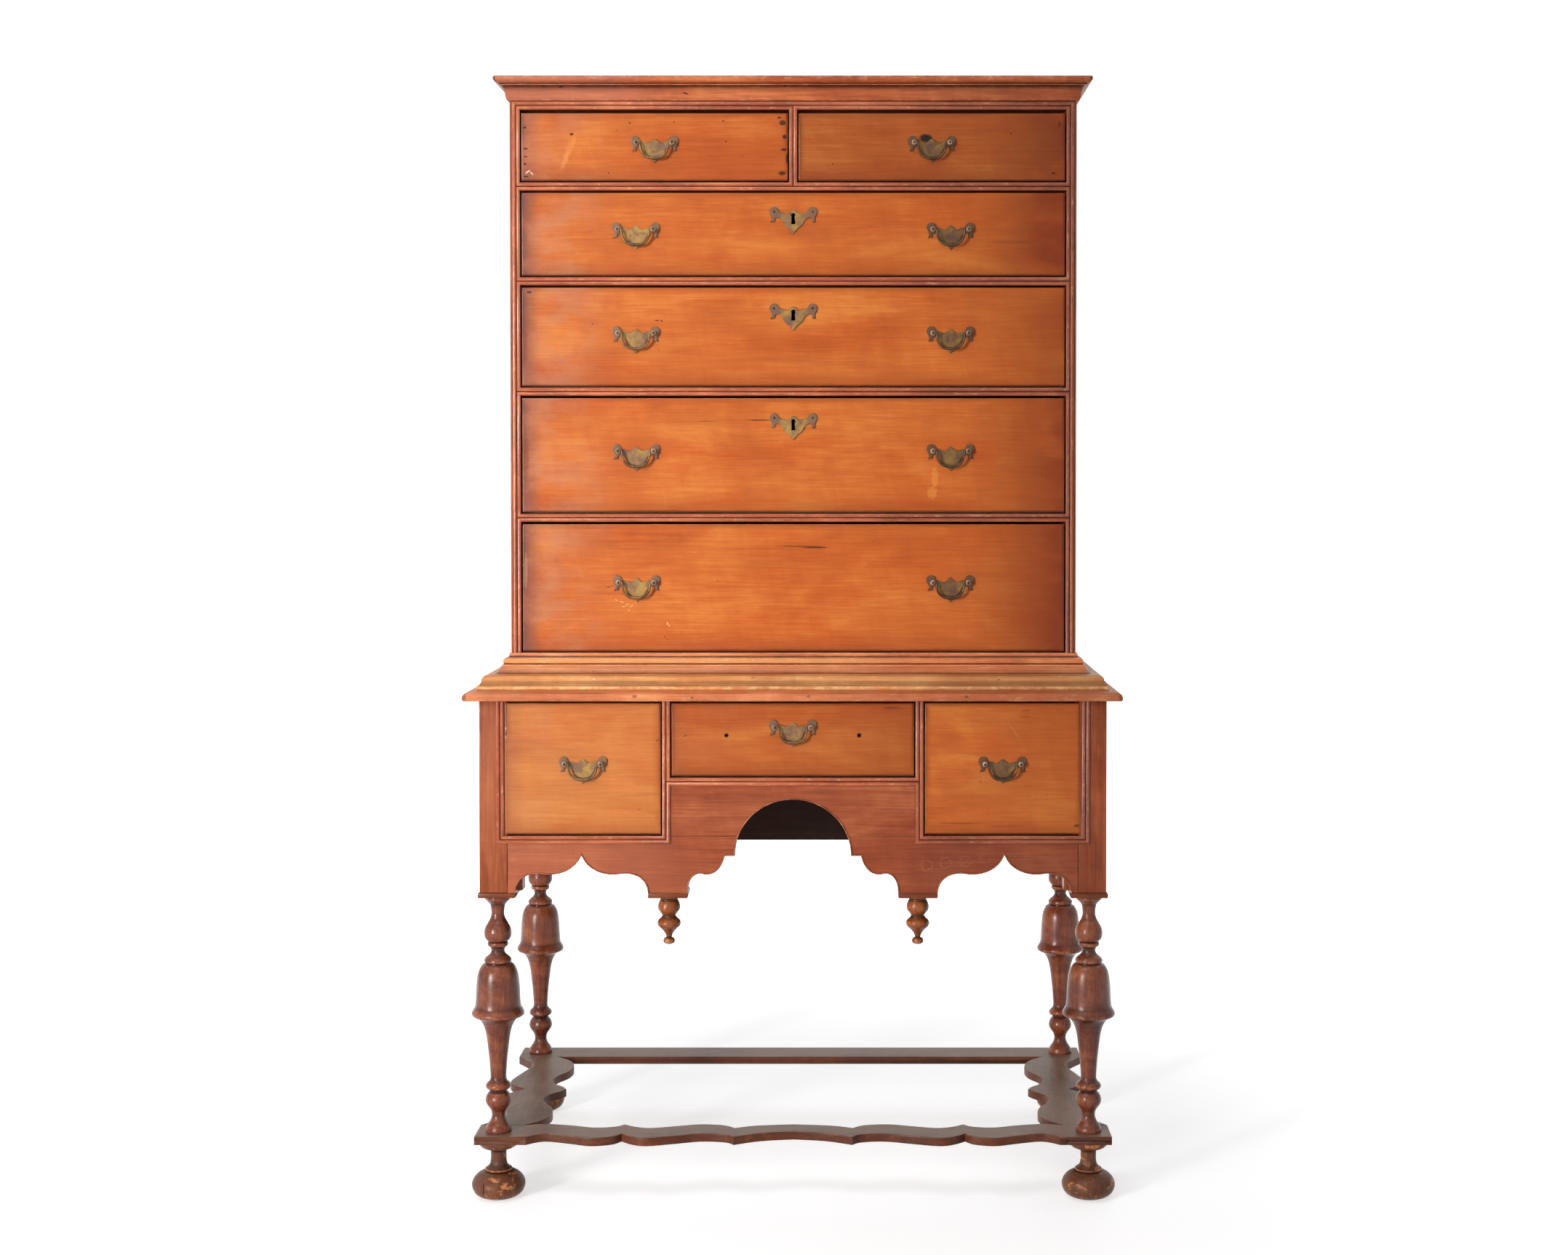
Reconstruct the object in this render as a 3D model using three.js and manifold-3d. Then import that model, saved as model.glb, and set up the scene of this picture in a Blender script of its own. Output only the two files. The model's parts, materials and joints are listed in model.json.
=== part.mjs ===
// A high chest of drawers on turned legs: an upper case of six drawers stands on a lower case of three.
// Millimetres, +Z up, the front faces -Y, and the origin is on the floor under the middle of the piece.
import * as THREE from 'three';
import { mergeVertices } from 'three/addons/utils/BufferGeometryUtils.js';
import Module from 'manifold-3d';

const wasm = await Module();
wasm.setup();

// Fits between neighbouring pieces
const glueGap = 0.2; // between pieces that are glued, nailed or rest on each other
const slideGap = 0.3; // under a drawer, on its runners
const pinGap = 0.3; // all round a dowel, and round a handle's pin
const overrun = 2; // how far a cutting shape runs past the face it cuts
const weldDistance = 0.0001; // corners closer than this are one corner

// Heights of what stands on what, from the floor up
const footHeight = 86.5;
const stretcherThickness = 13;
const legHeight = 360.5;
const lowerCaseHeight = 300;
const baseTopThickness = 15.3;
const waistHeight = 52.2;
const corniceHeight = 35.4;

// Plan
const legSpacingX = 899; // between leg axes
const legSpacingY = 463;
const legInsetX = 23.5; // from a leg's axis out to the side of the lower case
const legInsetY = 25.5; // from a leg's axis out to the front and to the back of the lower case
const baseTopOverhang = 26; // in front of the lower case
const baseTopSideOverhang = 21.4;
const footRadius = 40.4;
const upperSetback = 44; // from the lower case's face back to the upper case's face
const upperHalfWidth = 430;

// Mouldings round the drawers: rounded beads in pairs
const beadWidth = 6.5;
const beadProud = 3;
const beadRoot = 1.5; // how deep a bead's flat back is let into the board
const beadSteps = 4;
const railWidth = beadWidth * 2;

// Drawers
const drawerSideGap = 1.8;
const drawerBottomGap = 1.8;
const drawerTopGap = 3.2;
const topRowTopGap = 5;
const frontProud = 0.5; // a drawer's face before the face of its case
const frontThickness = 20;
const drawerSideThickness = 12;
const drawerBackThickness = 12;
const drawerBottomThickness = 8;
const drawerBodySetback = 6; // from a drawer's face to the end of its sides
const drawerSideDrop = 6; // from the top of a front down to the top of the sides
const longFrontHeights = [193.9, 173.6, 149.6, 125.4]; // from the bottom up
const shortFrontHeight = 102.3;
const upperDrawerClearBehind = 14; // from a closed drawer to the back board
const lowerDrawerClearBehind = 19;

// Lower case
const lowerFrontThickness = 20;
const lowerSideThickness = 16;
const lowerBackThickness = 15;
const plainStileWidth = 25.1;
const postDepth = 51;
const sideOpeningWidth = 237.5;
const sideOpeningRise = 95.2; // from the bottom of the lower case up to the side drawers' opening
const centreOpeningRise = 183;
const bearerWidth = 20;
const bearerHeight = 20;
const centreBearerHeight = 18;

// Lower edges of the lower case
const padWidth = 56;
const padHeight = 8;
const padLip = 2.5; // a pad's edge before the face over it
const cornerBlockWidth = 62;
const cornerBlockHeight = 60;
const coveRise = 29.5; // from a pad up to the top of its cove
const pointRise = 57; // from a pad up to the point between two lobes
const pendantPadWidth = 59.6;
const pendantInsetX = 260.5; // from a leg's axis in to the pendant's
const archHalfWidth = 87.6;
const archRise = 149.5; // from the bottom of the lower case up to the crown
const archSpring = 64; // from the bottom of the lower case up to where the arch starts
const archStep = 15;
const edgeSteps = 4;
const sidePointInset = 100; // from a post to the first point of the side's lower edge
const sideLobeRise = 36;
const backBoardRise = 6;

// Upper case
const faceStripThickness = 4;
const sideEdgeWidth = 2.9; // the strip of side board that shows beside the beads
const railDepth = 60;
const runnerWidth = 20;
const upperBackThickness = 12;
const upperFloorThickness = 13;
const bottomRailThickness = 18;
const topBoardThickness = 12;
const corniceWall = 14;

// Dowels
const legDowelRadius = 10;
const legDowelLength = 35;
const footDowelRadius = 8;
const footDowelDepth = 30; // how far the leg's lower dowel runs into the foot
const pendantDowelRadius = 6;
const pendantDowelLength = 15;
const dowelEndGap = 1;
const dowelHole = footDowelRadius + pinGap;

// Turned pieces
const legRadius = 39.8;
const pendantHeight = 74.2;
const pendantRadius = 17.6;
const turnedSides = 12;
const pendantSides = 10;

// Stretchers
const stretcherEndX = 32.5; // past the leg's axis, to the side
const stretcherEndY = 31; // past the leg's axis, to the front and to the back
const stretcherLapInner = 34.5; // from the leg's axis in to the edge of the side board
const frontPlateInner = 45.5; // from the leg's axis in to the end of the straight corner plate
const upperLapThickness = 7.4;
const stretcherWave = 37; // how far the wavy edges swing from the line of the leg axes
const lapGap = 0.3;

// Handles
const plateHalfWidth = 36.6;
const plateThickness = 1.2;
const lobeRadius = 7.3;
const lobeRise = 3.5; // from the handle's pivot up to the middle of a lobe
const postSpacing = 54;
const postNeckRadius = 1.8;
const pivotStandoff = 8; // from the plate's face out to the pivot
const ballRadius = 3.65;
const postSides = 6;
const bailDrop = 23.4;
const bailThickness = 4.7;
const bailPinRadius = 1.1;
const bailSides = 6;
const pinReach = 1.9; // how far the bail's pin runs into a ball

// Places of the handles. A pull's height is a share of its own drawer's opening, from the floor to the pivot.
const longPullX = 239;
const longPullShares = [0.539, 0.5325, 0.5315, 0.549];
const shortPullShare = 0.5415;
const lowerPullShare = 0.532;
const centrePullShare = 0.655;

// Levels
const stretcherTop = footHeight + stretcherThickness;
const caseBottom = stretcherTop + legHeight;
const baseTopBottom = caseBottom + lowerCaseHeight;
const upperBottom = baseTopBottom + baseTopThickness;
const waistTop = upperBottom + waistHeight;
const firstOpening = waistTop + slideGap + glueGap;

// Plan lines
const depth = baseTopOverhang + legInsetY + legSpacingY + footRadius;
const lowerFace = baseTopOverhang - depth / 2;
const upperFace = lowerFace + upperSetback;
const frontLegY = lowerFace + legInsetY;
const rearLegY = frontLegY + legSpacingY;
const caseBack = rearLegY + legInsetY;
const legX = legSpacingX / 2;
const lowerHalfWidth = legX + legInsetX;

// Openings of the lower case
const postInner = lowerHalfWidth - plainStileWidth - railWidth;
const dividerOuter = postInner - sideOpeningWidth;
const dividerInner = dividerOuter - railWidth;
const sideOpeningBottom = caseBottom + sideOpeningRise;
const centreOpeningBottom = caseBottom + centreOpeningRise;
const pendantX = legX - pendantInsetX;
const padTop = caseBottom + padHeight;

// Openings of the upper case, from the bottom row up
const upperSideThickness = railWidth + sideEdgeWidth;
const upperOpeningHalf = upperHalfWidth - upperSideThickness;
const longRows = [];
let rowFloor = firstOpening;
for (const frontHeight of longFrontHeights) {
  const rowTop = rowFloor + drawerBottomGap + frontHeight + drawerTopGap;
  longRows.push([rowFloor, rowTop]);
  rowFloor = rowTop + railWidth;
}
const shortRow = [rowFloor, rowFloor + drawerBottomGap + shortFrontHeight + topRowTopGap];
const caseTop = shortRow[1] + railWidth;
const height = caseTop + corniceHeight;

// Outlines and profiles as shares of the sizes they follow.
// Turned profiles run from the bottom up: share of the height, share of the greatest radius.
const legProfileShares = [
  [0, 0.49], [0.03, 0.42], [0.055, 0.26], [0.095, 0.27], [0.12, 0.43], [0.137, 0.485],
  [0.17, 0.34], [0.192, 0.48], [0.21, 0.32], [0.24, 0.295], [0.33, 0.36], [0.42, 0.48],
  [0.46, 0.6], [0.482, 0.8], [0.503, 1], [0.52, 0.92], [0.545, 0.86], [0.64, 0.81],
  [0.68, 0.73], [0.707, 0.5], [0.725, 0.51], [0.745, 0.43], [0.758, 0.28], [0.785, 0.28],
  [0.795, 0.39], [0.83, 0.51], [0.85, 0.49], [0.9, 0.28], [0.94, 0.25], [0.965, 0.3],
  [1, 0.485],
];
const footProfileShares = [
  [0, 0.5], [0.035, 0.74], [0.1, 0.91], [0.18, 0.99], [0.25, 1], [0.33, 0.94],
  [0.42, 0.67], [0.475, 0.49], [0.54, 0.35], [0.65, 0.29], [0.79, 0.3], [0.85, 0.4],
  [0.93, 0.64], [1, 0.69],
];
const pendantProfileShares = [
  [0, 0.16], [0.07, 0.48], [0.13, 0.42], [0.19, 0.24], [0.27, 0.45], [0.33, 0.88],
  [0.39, 1], [0.45, 0.97], [0.53, 0.64], [0.58, 0.6], [0.67, 0.9], [0.76, 0.96],
  [0.88, 0.78], [1, 0.87],
];
// Section of the waist moulding, from the outer foot up: share of how far it stands out, share of its height.
const waistProjection = 47;
const waistProfileShares = [
  [1, 0], [0.97, 0.06], [0.9, 0.18], [0.84, 0.24], [0.7, 0.4], [0.64, 0.435],
  [0.51, 0.454], [0.38, 0.49], [0.3, 0.57], [0.26, 0.68], [0.2, 0.7], [0.19, 0.79],
  [0.05, 0.87], [0.03, 1],
];
// Section of the cornice, from the bottom up.
const corniceProjection = 22;
const corniceProfileShares = [
  [0, 0], [0.14, 0.1], [0.22, 0.24], [0.25, 0.42], [0.34, 0.53], [0.5, 0.62],
  [0.6, 0.65], [0.68, 0.7], [0.66, 0.74], [0.84, 0.8], [0.96, 0.9], [1, 1],
];
// Edge of the board on the lower case, from the bottom up: share of the inset, share of the thickness.
const baseTopEdgeInset = 17.7;
const baseTopEdgeShares = [[0.07, 0], [0, 0.2], [0.1, 0.4], [0.45, 0.7], [1, 1]];
// Half a scallop of an apron's edge as two bends in a row: share of the width, share of the cove's rise. The
// first bend ends at the fourth entry, and the second runs on to the point.
const scallopShares = [[0, 0], [0.02, 0.7], [0.16, 1], [0.36, 1], [0.66, 0.78], [0.92, 1.19]];
// A handle's post over its neck: share of the ball's radius, and how far from the pivot in the same radius.
const ballShares = [[1, -0.3], [1, 0.3], [0.5, 0.9], [0, 1]];
const postNeckShare = 0.9;
// Half of a handle's plate, from the top of its crest round to the tip: shares of the half width.
const crestShares = [[0, 0.08], [0.08, 0.05], [0.17, -0.04], [0.24, -0.09], [0.48, -0.005], [0.56, -0.04]];
const tailShares = [
  [0.87, -0.29], [0.93, -0.44], [0.86, -0.4], [0.78, -0.44], [0.75, -0.28], [0.6, -0.26],
  [0.5, -0.33], [0.42, -0.45], [0.34, -0.59], [0.15, -0.71], [0.12, -0.78], [0, -0.93],
];
const lobeCentreShare = 0.8;
const lobeArcDegrees = [160, 115, 70, 25, -20];
// Half of a bail, from its end down to the middle: share of the end's half width, the drop, the thickness.
const bailShares = [
  [1, 0, 0.24], [0.98, 0.32, 0.3], [0.88, 0.58, 0.36], [0.68, 0.83, 0.44], [0.36, 0.97, 0.48],
  [0, 1, 0.5],
];
// Edges of the stretchers, from the corner plate to the middle: share of the half span, share of the wave.
// Each list is one smooth stretch and ends in a sharp point, or at the middle.
const frontEdgeShares = [
  [[0.84, -0.38], [0.75, -0.7], [0.68, -1], [0.61, -0.8], [0.58, -0.38]],
  [[0.54, -0.82], [0.49, -1], [0.4, -0.7], [0.31, -0.38], [0.23, -0.5], [0.2, -0.84]],
  [[0.11, -0.32], [0, -0.08]],
];
const rearEdgeShares = [
  [[0.85, 1], [0.76, 0.8], [0.68, 0.49], [0.61, 0.62], [0.58, 0.95]],
  [[0.54, 0.6], [0.485, 0.43], [0.4, 0.7], [0.32, 0.95], [0.24, 0.82], [0.2, 0.43]],
  [[0.13, 0.76], [0, 0.95]],
];
const sideInnerShares = [
  [[0.79, 1.42], [0.7, 1.74], [0.58, 1.87], [0.46, 1.74], [0.36, 1.42], [0.27, 1.22], [0.2, 1.24], [0.13, 1.42],
    [0.06, 1.8], [0, 1.99]],
];
const sideOuterShares = [
  [[0.75, -0.4], [0.63, -0.04], [0.42, -0.35], [0.21, -0.64], [0.1, -0.4], [0, 0.2]],
];

// Materials
function finish(color, roughness, metalness) {
  return new THREE.MeshStandardMaterial({ color, roughness, metalness });
}

const frontWood = finish(0xb9662c, 0.38, 0);
const frameWood = finish(0x8f4526, 0.4, 0);
const legWood = finish(0x6b2f1d, 0.34, 0);
const waistWood = finish(0xb07a3a, 0.42, 0);
const stretcherWood = finish(0x7a5443, 0.55, 0);
const pendantWood = finish(0x9a5a28, 0.38, 0);
const backWood = finish(0x3b2a26, 0.8, 0);
const brass = finish(0x8a7346, 0.36, 0.9);

const chest = new THREE.Group();

function addPiece(name, geometry, material) {
  const mesh = new THREE.Mesh(geometry, material);
  mesh.name = name;
  chest.add(mesh);
}

// A closed geometry as merged corners, without the flat triangles that a lathe leaves on its axis.
function closedMesh(geometry) {
  const bare = geometry.clone();
  bare.deleteAttribute('normal');
  bare.deleteAttribute('uv');
  const merged = mergeVertices(bare, weldDistance);
  const corners = Array.from(merged.index.array);
  const kept = [];
  for (let i = 0; i < corners.length; i += 3) {
    const [a, b, c] = corners.slice(i, i + 3);
    if (a !== b && b !== c && c !== a) {
      kept.push(a, b, c);
    }
  }
  merged.setIndex(kept);
  return merged;
}

function solidOf(geometry) {
  const mesh = closedMesh(geometry);
  const vertProperties = mesh.attributes.position.array;
  const triVerts = new Uint32Array(mesh.index.array);
  return new wasm.Manifold(new wasm.Mesh({ numProp: 3, vertProperties, triVerts }));
}

function geometryOf(solid) {
  const mesh = solid.getMesh();
  const geometry = new THREE.BufferGeometry();
  geometry.setAttribute('position', new THREE.BufferAttribute(new Float32Array(mesh.vertProperties), 3));
  geometry.setIndex(Array.from(mesh.triVerts));
  geometry.computeVertexNormals();
  return geometry;
}

// The geometries in `joined` as one body, less those in `cut`.
function carve(joined, cut = []) {
  let solid = solidOf(joined[0]);
  for (const piece of joined.slice(1)) {
    solid = solid.add(solidOf(piece));
  }
  for (const piece of cut) {
    solid = solid.subtract(solidOf(piece));
  }
  return geometryOf(solid);
}

function block([x0, x1], [y0, y1], [z0, z1]) {
  const box = new THREE.BoxGeometry(x1 - x0, y1 - y0, z1 - z0);
  box.translate((x0 + x1) / 2, (y0 + y1) / 2, (z0 + z1) / 2);
  return box;
}

function mirrorRange([low, high]) {
  return [-high, -low];
}

// A board cut to an outline drawn as seen from the front: x across, y up.
function frontBoard(shape, front, thickness) {
  const board = new THREE.ExtrudeGeometry(shape, {
    depth: thickness,
    bevelEnabled: false,
    curveSegments: edgeSteps,
  });
  board.rotateX(Math.PI / 2);
  board.translate(0, front + thickness, 0);
  return board;
}

// A board cut to an outline drawn as seen from the right-hand side: x runs to the back, y up.
function sideBoard(shape, left, thickness) {
  const board = new THREE.ExtrudeGeometry(shape, {
    depth: thickness,
    bevelEnabled: false,
    curveSegments: edgeSteps,
  });
  board.rotateX(Math.PI / 2);
  board.rotateZ(Math.PI / 2);
  board.translate(left, 0, 0);
  return board;
}

// A moulding run along a path with mitred corners. The path is flat, the section lies on its right-hand side
// and is given as points [distance from the path, height over the flat].
function mitredMoulding(path, section, closed) {
  const contour = section.map(([out, up]) => new THREE.Vector2(out, up));
  if (THREE.ShapeUtils.isClockWise(contour)) {
    contour.reverse();
  }
  const count = path.length;
  const normals = [];
  for (let i = 0; i < (closed ? count : count - 1); i += 1) {
    const [ax, ay] = path[i];
    const [bx, by] = path[(i + 1) % count];
    normals.push(new THREE.Vector2(by - ay, ax - bx).normalize());
  }
  const positions = [];
  for (let i = 0; i < count; i += 1) {
    const before = normals[closed ? (i + count - 1) % count : Math.max(i - 1, 0)];
    const after = normals[Math.min(i, normals.length - 1)];
    const mitre = before.clone().add(after).divideScalar(1 + before.dot(after));
    for (const point of contour) {
      positions.push(path[i][0] + mitre.x * point.x, path[i][1] + mitre.y * point.x, point.y);
    }
  }
  const size = contour.length;
  const faces = [];
  for (let i = 0; i < normals.length; i += 1) {
    const near = i * size;
    const far = ((i + 1) % count) * size;
    for (let j = 0; j < size; j += 1) {
      const k = (j + 1) % size;
      faces.push(near + j, far + j, far + k, near + j, far + k, near + k);
    }
  }
  if (!closed) {
    const last = (count - 1) * size;
    for (const [a, b, c] of THREE.ShapeUtils.triangulateShape(contour, [])) {
      faces.push(a, b, c, last + a, last + c, last + b);
    }
  }
  const geometry = new THREE.BufferGeometry();
  geometry.setAttribute('position', new THREE.Float32BufferAttribute(positions, 3));
  geometry.setIndex(faces);
  return geometry;
}

// A bead on a front face, along a path drawn as seen from the front.
function bead(path, face, closed = false) {
  const section = [[0, -beadRoot], [beadWidth, -beadRoot]];
  for (let step = 0; step <= beadSteps; step += 1) {
    const turn = (Math.PI * step) / beadSteps;
    section.push([(beadWidth * (1 + Math.cos(turn))) / 2, beadProud * Math.sin(turn)]);
  }
  const moulding = mitredMoulding(path, section, closed);
  moulding.rotateX(Math.PI / 2);
  moulding.translate(0, face, 0);
  return moulding;
}

function turned(profile, sides) {
  const points = profile.map(([radius, level]) => new THREE.Vector2(radius, level));
  const lathe = new THREE.LatheGeometry(points, sides);
  lathe.rotateX(Math.PI / 2);
  return geometryOf(solidOf(lathe));
}

// Shares [of height, of radius] as lathe points.
function profileOf(shares, base, tall, radius) {
  return shares.map(([up, out]) => [out * radius, base + up * tall]);
}

// A board whose front and side edges are moulded, with a flat back. Levels are [how far out, height].
function mouldedSlab(levels, halfWidth, front, back) {
  const positions = [];
  for (const [out, level] of levels) {
    positions.push(-halfWidth - out, front - out, level, halfWidth + out, front - out, level);
    positions.push(halfWidth + out, back, level, -halfWidth - out, back, level);
  }
  const faces = [0, 2, 1, 0, 3, 2];
  for (let i = 0; i + 1 < levels.length; i += 1) {
    for (let j = 0; j < 4; j += 1) {
      const a = i * 4 + j;
      const b = i * 4 + ((j + 1) % 4);
      faces.push(a, b, b + 4, a, b + 4, a + 4);
    }
  }
  const top = (levels.length - 1) * 4;
  faces.push(top, top + 1, top + 2, top, top + 2, top + 3);
  const geometry = new THREE.BufferGeometry();
  geometry.setAttribute('position', new THREE.Float32BufferAttribute(positions, 3));
  geometry.setIndex(faces);
  return geometry;
}

function bore(radius, x, y, bottom, top) {
  const hole = new THREE.CylinderGeometry(radius, radius, top - bottom, turnedSides);
  hole.rotateX(Math.PI / 2);
  hole.translate(x, y, (bottom + top) / 2);
  return hole;
}

// Half a scallop of an apron's lower edge, between a pad and a point: a cove rises from the pad and runs into
// a hanging lobe that ends in the point. It is drawn from the pad, or from the point when `down` is true.
function halfScallop(shape, padX, pointX, pointLevel, down) {
  const bends = scallopShares.map(([along, up]) => [padX + (pointX - padX) * along, padTop + coveRise * up]);
  bends.push([pointX, pointLevel]);
  if (down) {
    bends.reverse();
  }
  shape.lineTo(...bends[0]);
  shape.bezierCurveTo(...bends[1], ...bends[2], ...bends[3]);
  shape.bezierCurveTo(...bends[4], ...bends[5], ...bends[6]);
}

// Lower case

function frontApronShape() {
  const point = padTop + pointRise;
  const stepX = archHalfWidth + archStep;
  const spring = caseBottom + archSpring;
  const padOuter = pendantX + pendantPadWidth / 2;
  const padInner = pendantX - pendantPadWidth / 2;
  const cornerPad = lowerHalfWidth - padWidth + padLip;
  const middle = (cornerPad + padOuter) / 2;
  const low = caseBottom + glueGap;
  const top = baseTopBottom - glueGap;
  const shape = new THREE.Shape();
  shape.moveTo(-lowerHalfWidth, low);
  shape.lineTo(-cornerPad, low);
  halfScallop(shape, -cornerPad, -middle, point, false);
  halfScallop(shape, -padOuter, -middle, point, true);
  shape.lineTo(-padOuter, low);
  shape.lineTo(-padInner, low);
  halfScallop(shape, -padInner, -stepX, spring, false);
  shape.lineTo(-archHalfWidth, spring);
  for (const quarter of [2, 1]) {
    const start = (quarter * Math.PI) / 2;
    shape.absellipse(0, spring, archHalfWidth, archRise - archSpring, start, start - Math.PI / 2, true);
  }
  shape.lineTo(stepX, spring);
  halfScallop(shape, padInner, stepX, spring, true);
  shape.lineTo(padInner, low);
  shape.lineTo(padOuter, low);
  halfScallop(shape, padOuter, middle, point, false);
  halfScallop(shape, cornerPad, middle, point, true);
  shape.lineTo(cornerPad, low);
  shape.lineTo(lowerHalfWidth, low);
  shape.lineTo(lowerHalfWidth, top);
  shape.lineTo(postInner, top);
  shape.lineTo(postInner, sideOpeningBottom);
  shape.lineTo(dividerOuter, sideOpeningBottom);
  shape.lineTo(dividerOuter, top);
  shape.lineTo(dividerInner, top);
  shape.lineTo(dividerInner, centreOpeningBottom);
  shape.lineTo(-dividerInner, centreOpeningBottom);
  shape.lineTo(-dividerInner, top);
  shape.lineTo(-dividerOuter, top);
  shape.lineTo(-dividerOuter, sideOpeningBottom);
  shape.lineTo(-postInner, sideOpeningBottom);
  shape.lineTo(-postInner, top);
  shape.lineTo(-lowerHalfWidth, top);
  return shape;
}

// Beads round the three openings, and the one that runs round them all.
function lowerBeads() {
  const top = baseTopBottom - glueGap;
  const outer = postInner + beadWidth;
  const middle = dividerOuter - beadWidth;
  const sideFloor = sideOpeningBottom - beadWidth;
  const panelTop = centreOpeningBottom - beadWidth;
  const paths = [
    [[-dividerInner, top], [-dividerInner, centreOpeningBottom], [dividerInner, centreOpeningBottom],
      [dividerInner, top]],
    [[-outer, top], [-outer, sideFloor], [-middle, sideFloor], [-middle, panelTop], [middle, panelTop],
      [middle, sideFloor], [outer, sideFloor], [outer, top]],
    [[-postInner, top], [-postInner, sideOpeningBottom], [-dividerOuter, sideOpeningBottom],
      [-dividerOuter, top]],
    [[dividerOuter, top], [dividerOuter, sideOpeningBottom], [postInner, sideOpeningBottom],
      [postInner, top]],
  ];
  return paths.map((path) => bead(path, lowerFace));
}

// A corner of the lower case: the post, its block and its foot pad. `outward` is 1 for the back.
function cornerPost(side, edge, outward) {
  const low = caseBottom + glueGap;
  const across = side < 0 ? mirrorRange : (range) => range;
  const along = (near, far) => (outward > 0 ? [edge - far, edge - near] : [edge + near, edge + far]);
  const post = block(
    across([postInner, lowerHalfWidth]), along(0, postDepth), [low, baseTopBottom - glueGap]);
  const cornerBlock = block(
    across([lowerHalfWidth - cornerBlockWidth, postInner + overrun]),
    along(lowerBackThickness, postDepth),
    [padTop, padTop + cornerBlockHeight]);
  const pad = block(
    across([lowerHalfWidth + padLip - padWidth, lowerHalfWidth + padLip]),
    along(outward > 0 ? 0 : -padLip, postDepth + padLip),
    [low, padTop]);
  return [post, cornerBlock, pad];
}

function dowelHoles(y) {
  const top = caseBottom + legDowelLength + dowelEndGap;
  return [-legX, legX].map((x) => bore(legDowelRadius + pinGap, x, y, caseBottom - overrun, top));
}

function baseFront() {
  const low = caseBottom + glueGap;
  const back = caseBack - lowerBackThickness - glueGap;
  const inside = lowerFace + lowerFrontThickness - overrun;
  const rearPost = caseBack - postDepth - glueGap;
  const sideInner = lowerHalfWidth - lowerSideThickness - glueGap;
  const joined = [frontBoard(frontApronShape(), lowerFace, lowerFrontThickness), ...lowerBeads()];
  for (const side of [-1, 1]) {
    const across = side < 0 ? mirrorRange : (range) => range;
    joined.push(...cornerPost(side, lowerFace, -1));
    // Bearers and guides that the drawers run on
    joined.push(block(
      across([postInner - bearerWidth, sideInner]), [inside, rearPost],
      [sideOpeningBottom - bearerHeight, sideOpeningBottom]));
    joined.push(block(
      across([postInner, sideInner]), [inside, rearPost],
      [sideOpeningBottom - bearerHeight, sideOpeningBottom + bearerHeight]));
    joined.push(block(
      across([dividerInner, dividerOuter]), [inside, back],
      [sideOpeningBottom - bearerHeight, baseTopBottom - glueGap]));
    joined.push(block(
      across([dividerInner, dividerOuter + bearerWidth]), [inside, back],
      [sideOpeningBottom - bearerHeight, sideOpeningBottom]));
    joined.push(block(
      across([dividerInner - bearerWidth, dividerInner + overrun]), [inside, back],
      [centreOpeningBottom - centreBearerHeight, centreOpeningBottom]));
    // Block and pad that carry a pendant
    joined.push(block(
      across([pendantX - padWidth / 2 + padLip, pendantX + padWidth / 2 - padLip]),
      [inside, lowerFace + postDepth], [low, sideOpeningBottom - bearerHeight + overrun]));
    joined.push(block(
      across([pendantX - pendantPadWidth / 2, pendantX + pendantPadWidth / 2]),
      [lowerFace - padLip, lowerFace + postDepth + padLip], [low, padTop]));
  }
  const pendantTop = caseBottom + pendantDowelLength + dowelEndGap;
  const holes = [-pendantX, pendantX].map(
    (x) => bore(pendantDowelRadius + pinGap, x, frontLegY, caseBottom - overrun, pendantTop));
  return carve(joined, [...dowelHoles(frontLegY), ...holes]);
}

function baseBack() {
  const board = block(
    [-postInner - overrun, postInner + overrun], [caseBack - lowerBackThickness, caseBack],
    [caseBottom + backBoardRise, baseTopBottom - glueGap]);
  const joined = [board, ...cornerPost(-1, caseBack, 1), ...cornerPost(1, caseBack, 1)];
  return carve(joined, dowelHoles(rearLegY));
}

function baseSide(left) {
  const front = lowerFace + postDepth + glueGap;
  const back = caseBack - postDepth - glueGap;
  const point = padTop + pointRise;
  const lobe = caseBottom + sideLobeRise;
  const middle = (front + back) / 2;
  const frontPad = front + padLip + glueGap;
  const backPad = back - padLip - glueGap;
  const frontPoint = frontPad + sidePointInset;
  const backPoint = backPad - sidePointInset;
  const top = baseTopBottom - glueGap;
  const low = padTop + glueGap;
  const shape = new THREE.Shape();
  shape.moveTo(front, low);
  shape.lineTo(frontPad, low);
  halfScallop(shape, frontPad, frontPoint, point, false);
  shape.quadraticCurveTo(frontPoint, lobe, (frontPoint + middle) / 2, lobe);
  shape.lineTo((backPoint + middle) / 2, lobe);
  shape.quadraticCurveTo(backPoint, lobe, backPoint, point);
  halfScallop(shape, backPad, backPoint, point, true);
  shape.lineTo(backPad, low);
  shape.lineTo(back, low);
  shape.lineTo(back, top);
  shape.lineTo(front, top);
  return sideBoard(shape, left, lowerSideThickness);
}

function baseTop() {
  const base = baseTopBottom;
  const tall = baseTopThickness - glueGap;
  const levels = baseTopEdgeShares.map(([inset, up]) => [-inset * baseTopEdgeInset, base + up * tall]);
  return mouldedSlab(levels, lowerHalfWidth + baseTopSideOverhang, lowerFace - baseTopOverhang, caseBack);
}

// Upper case

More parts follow.
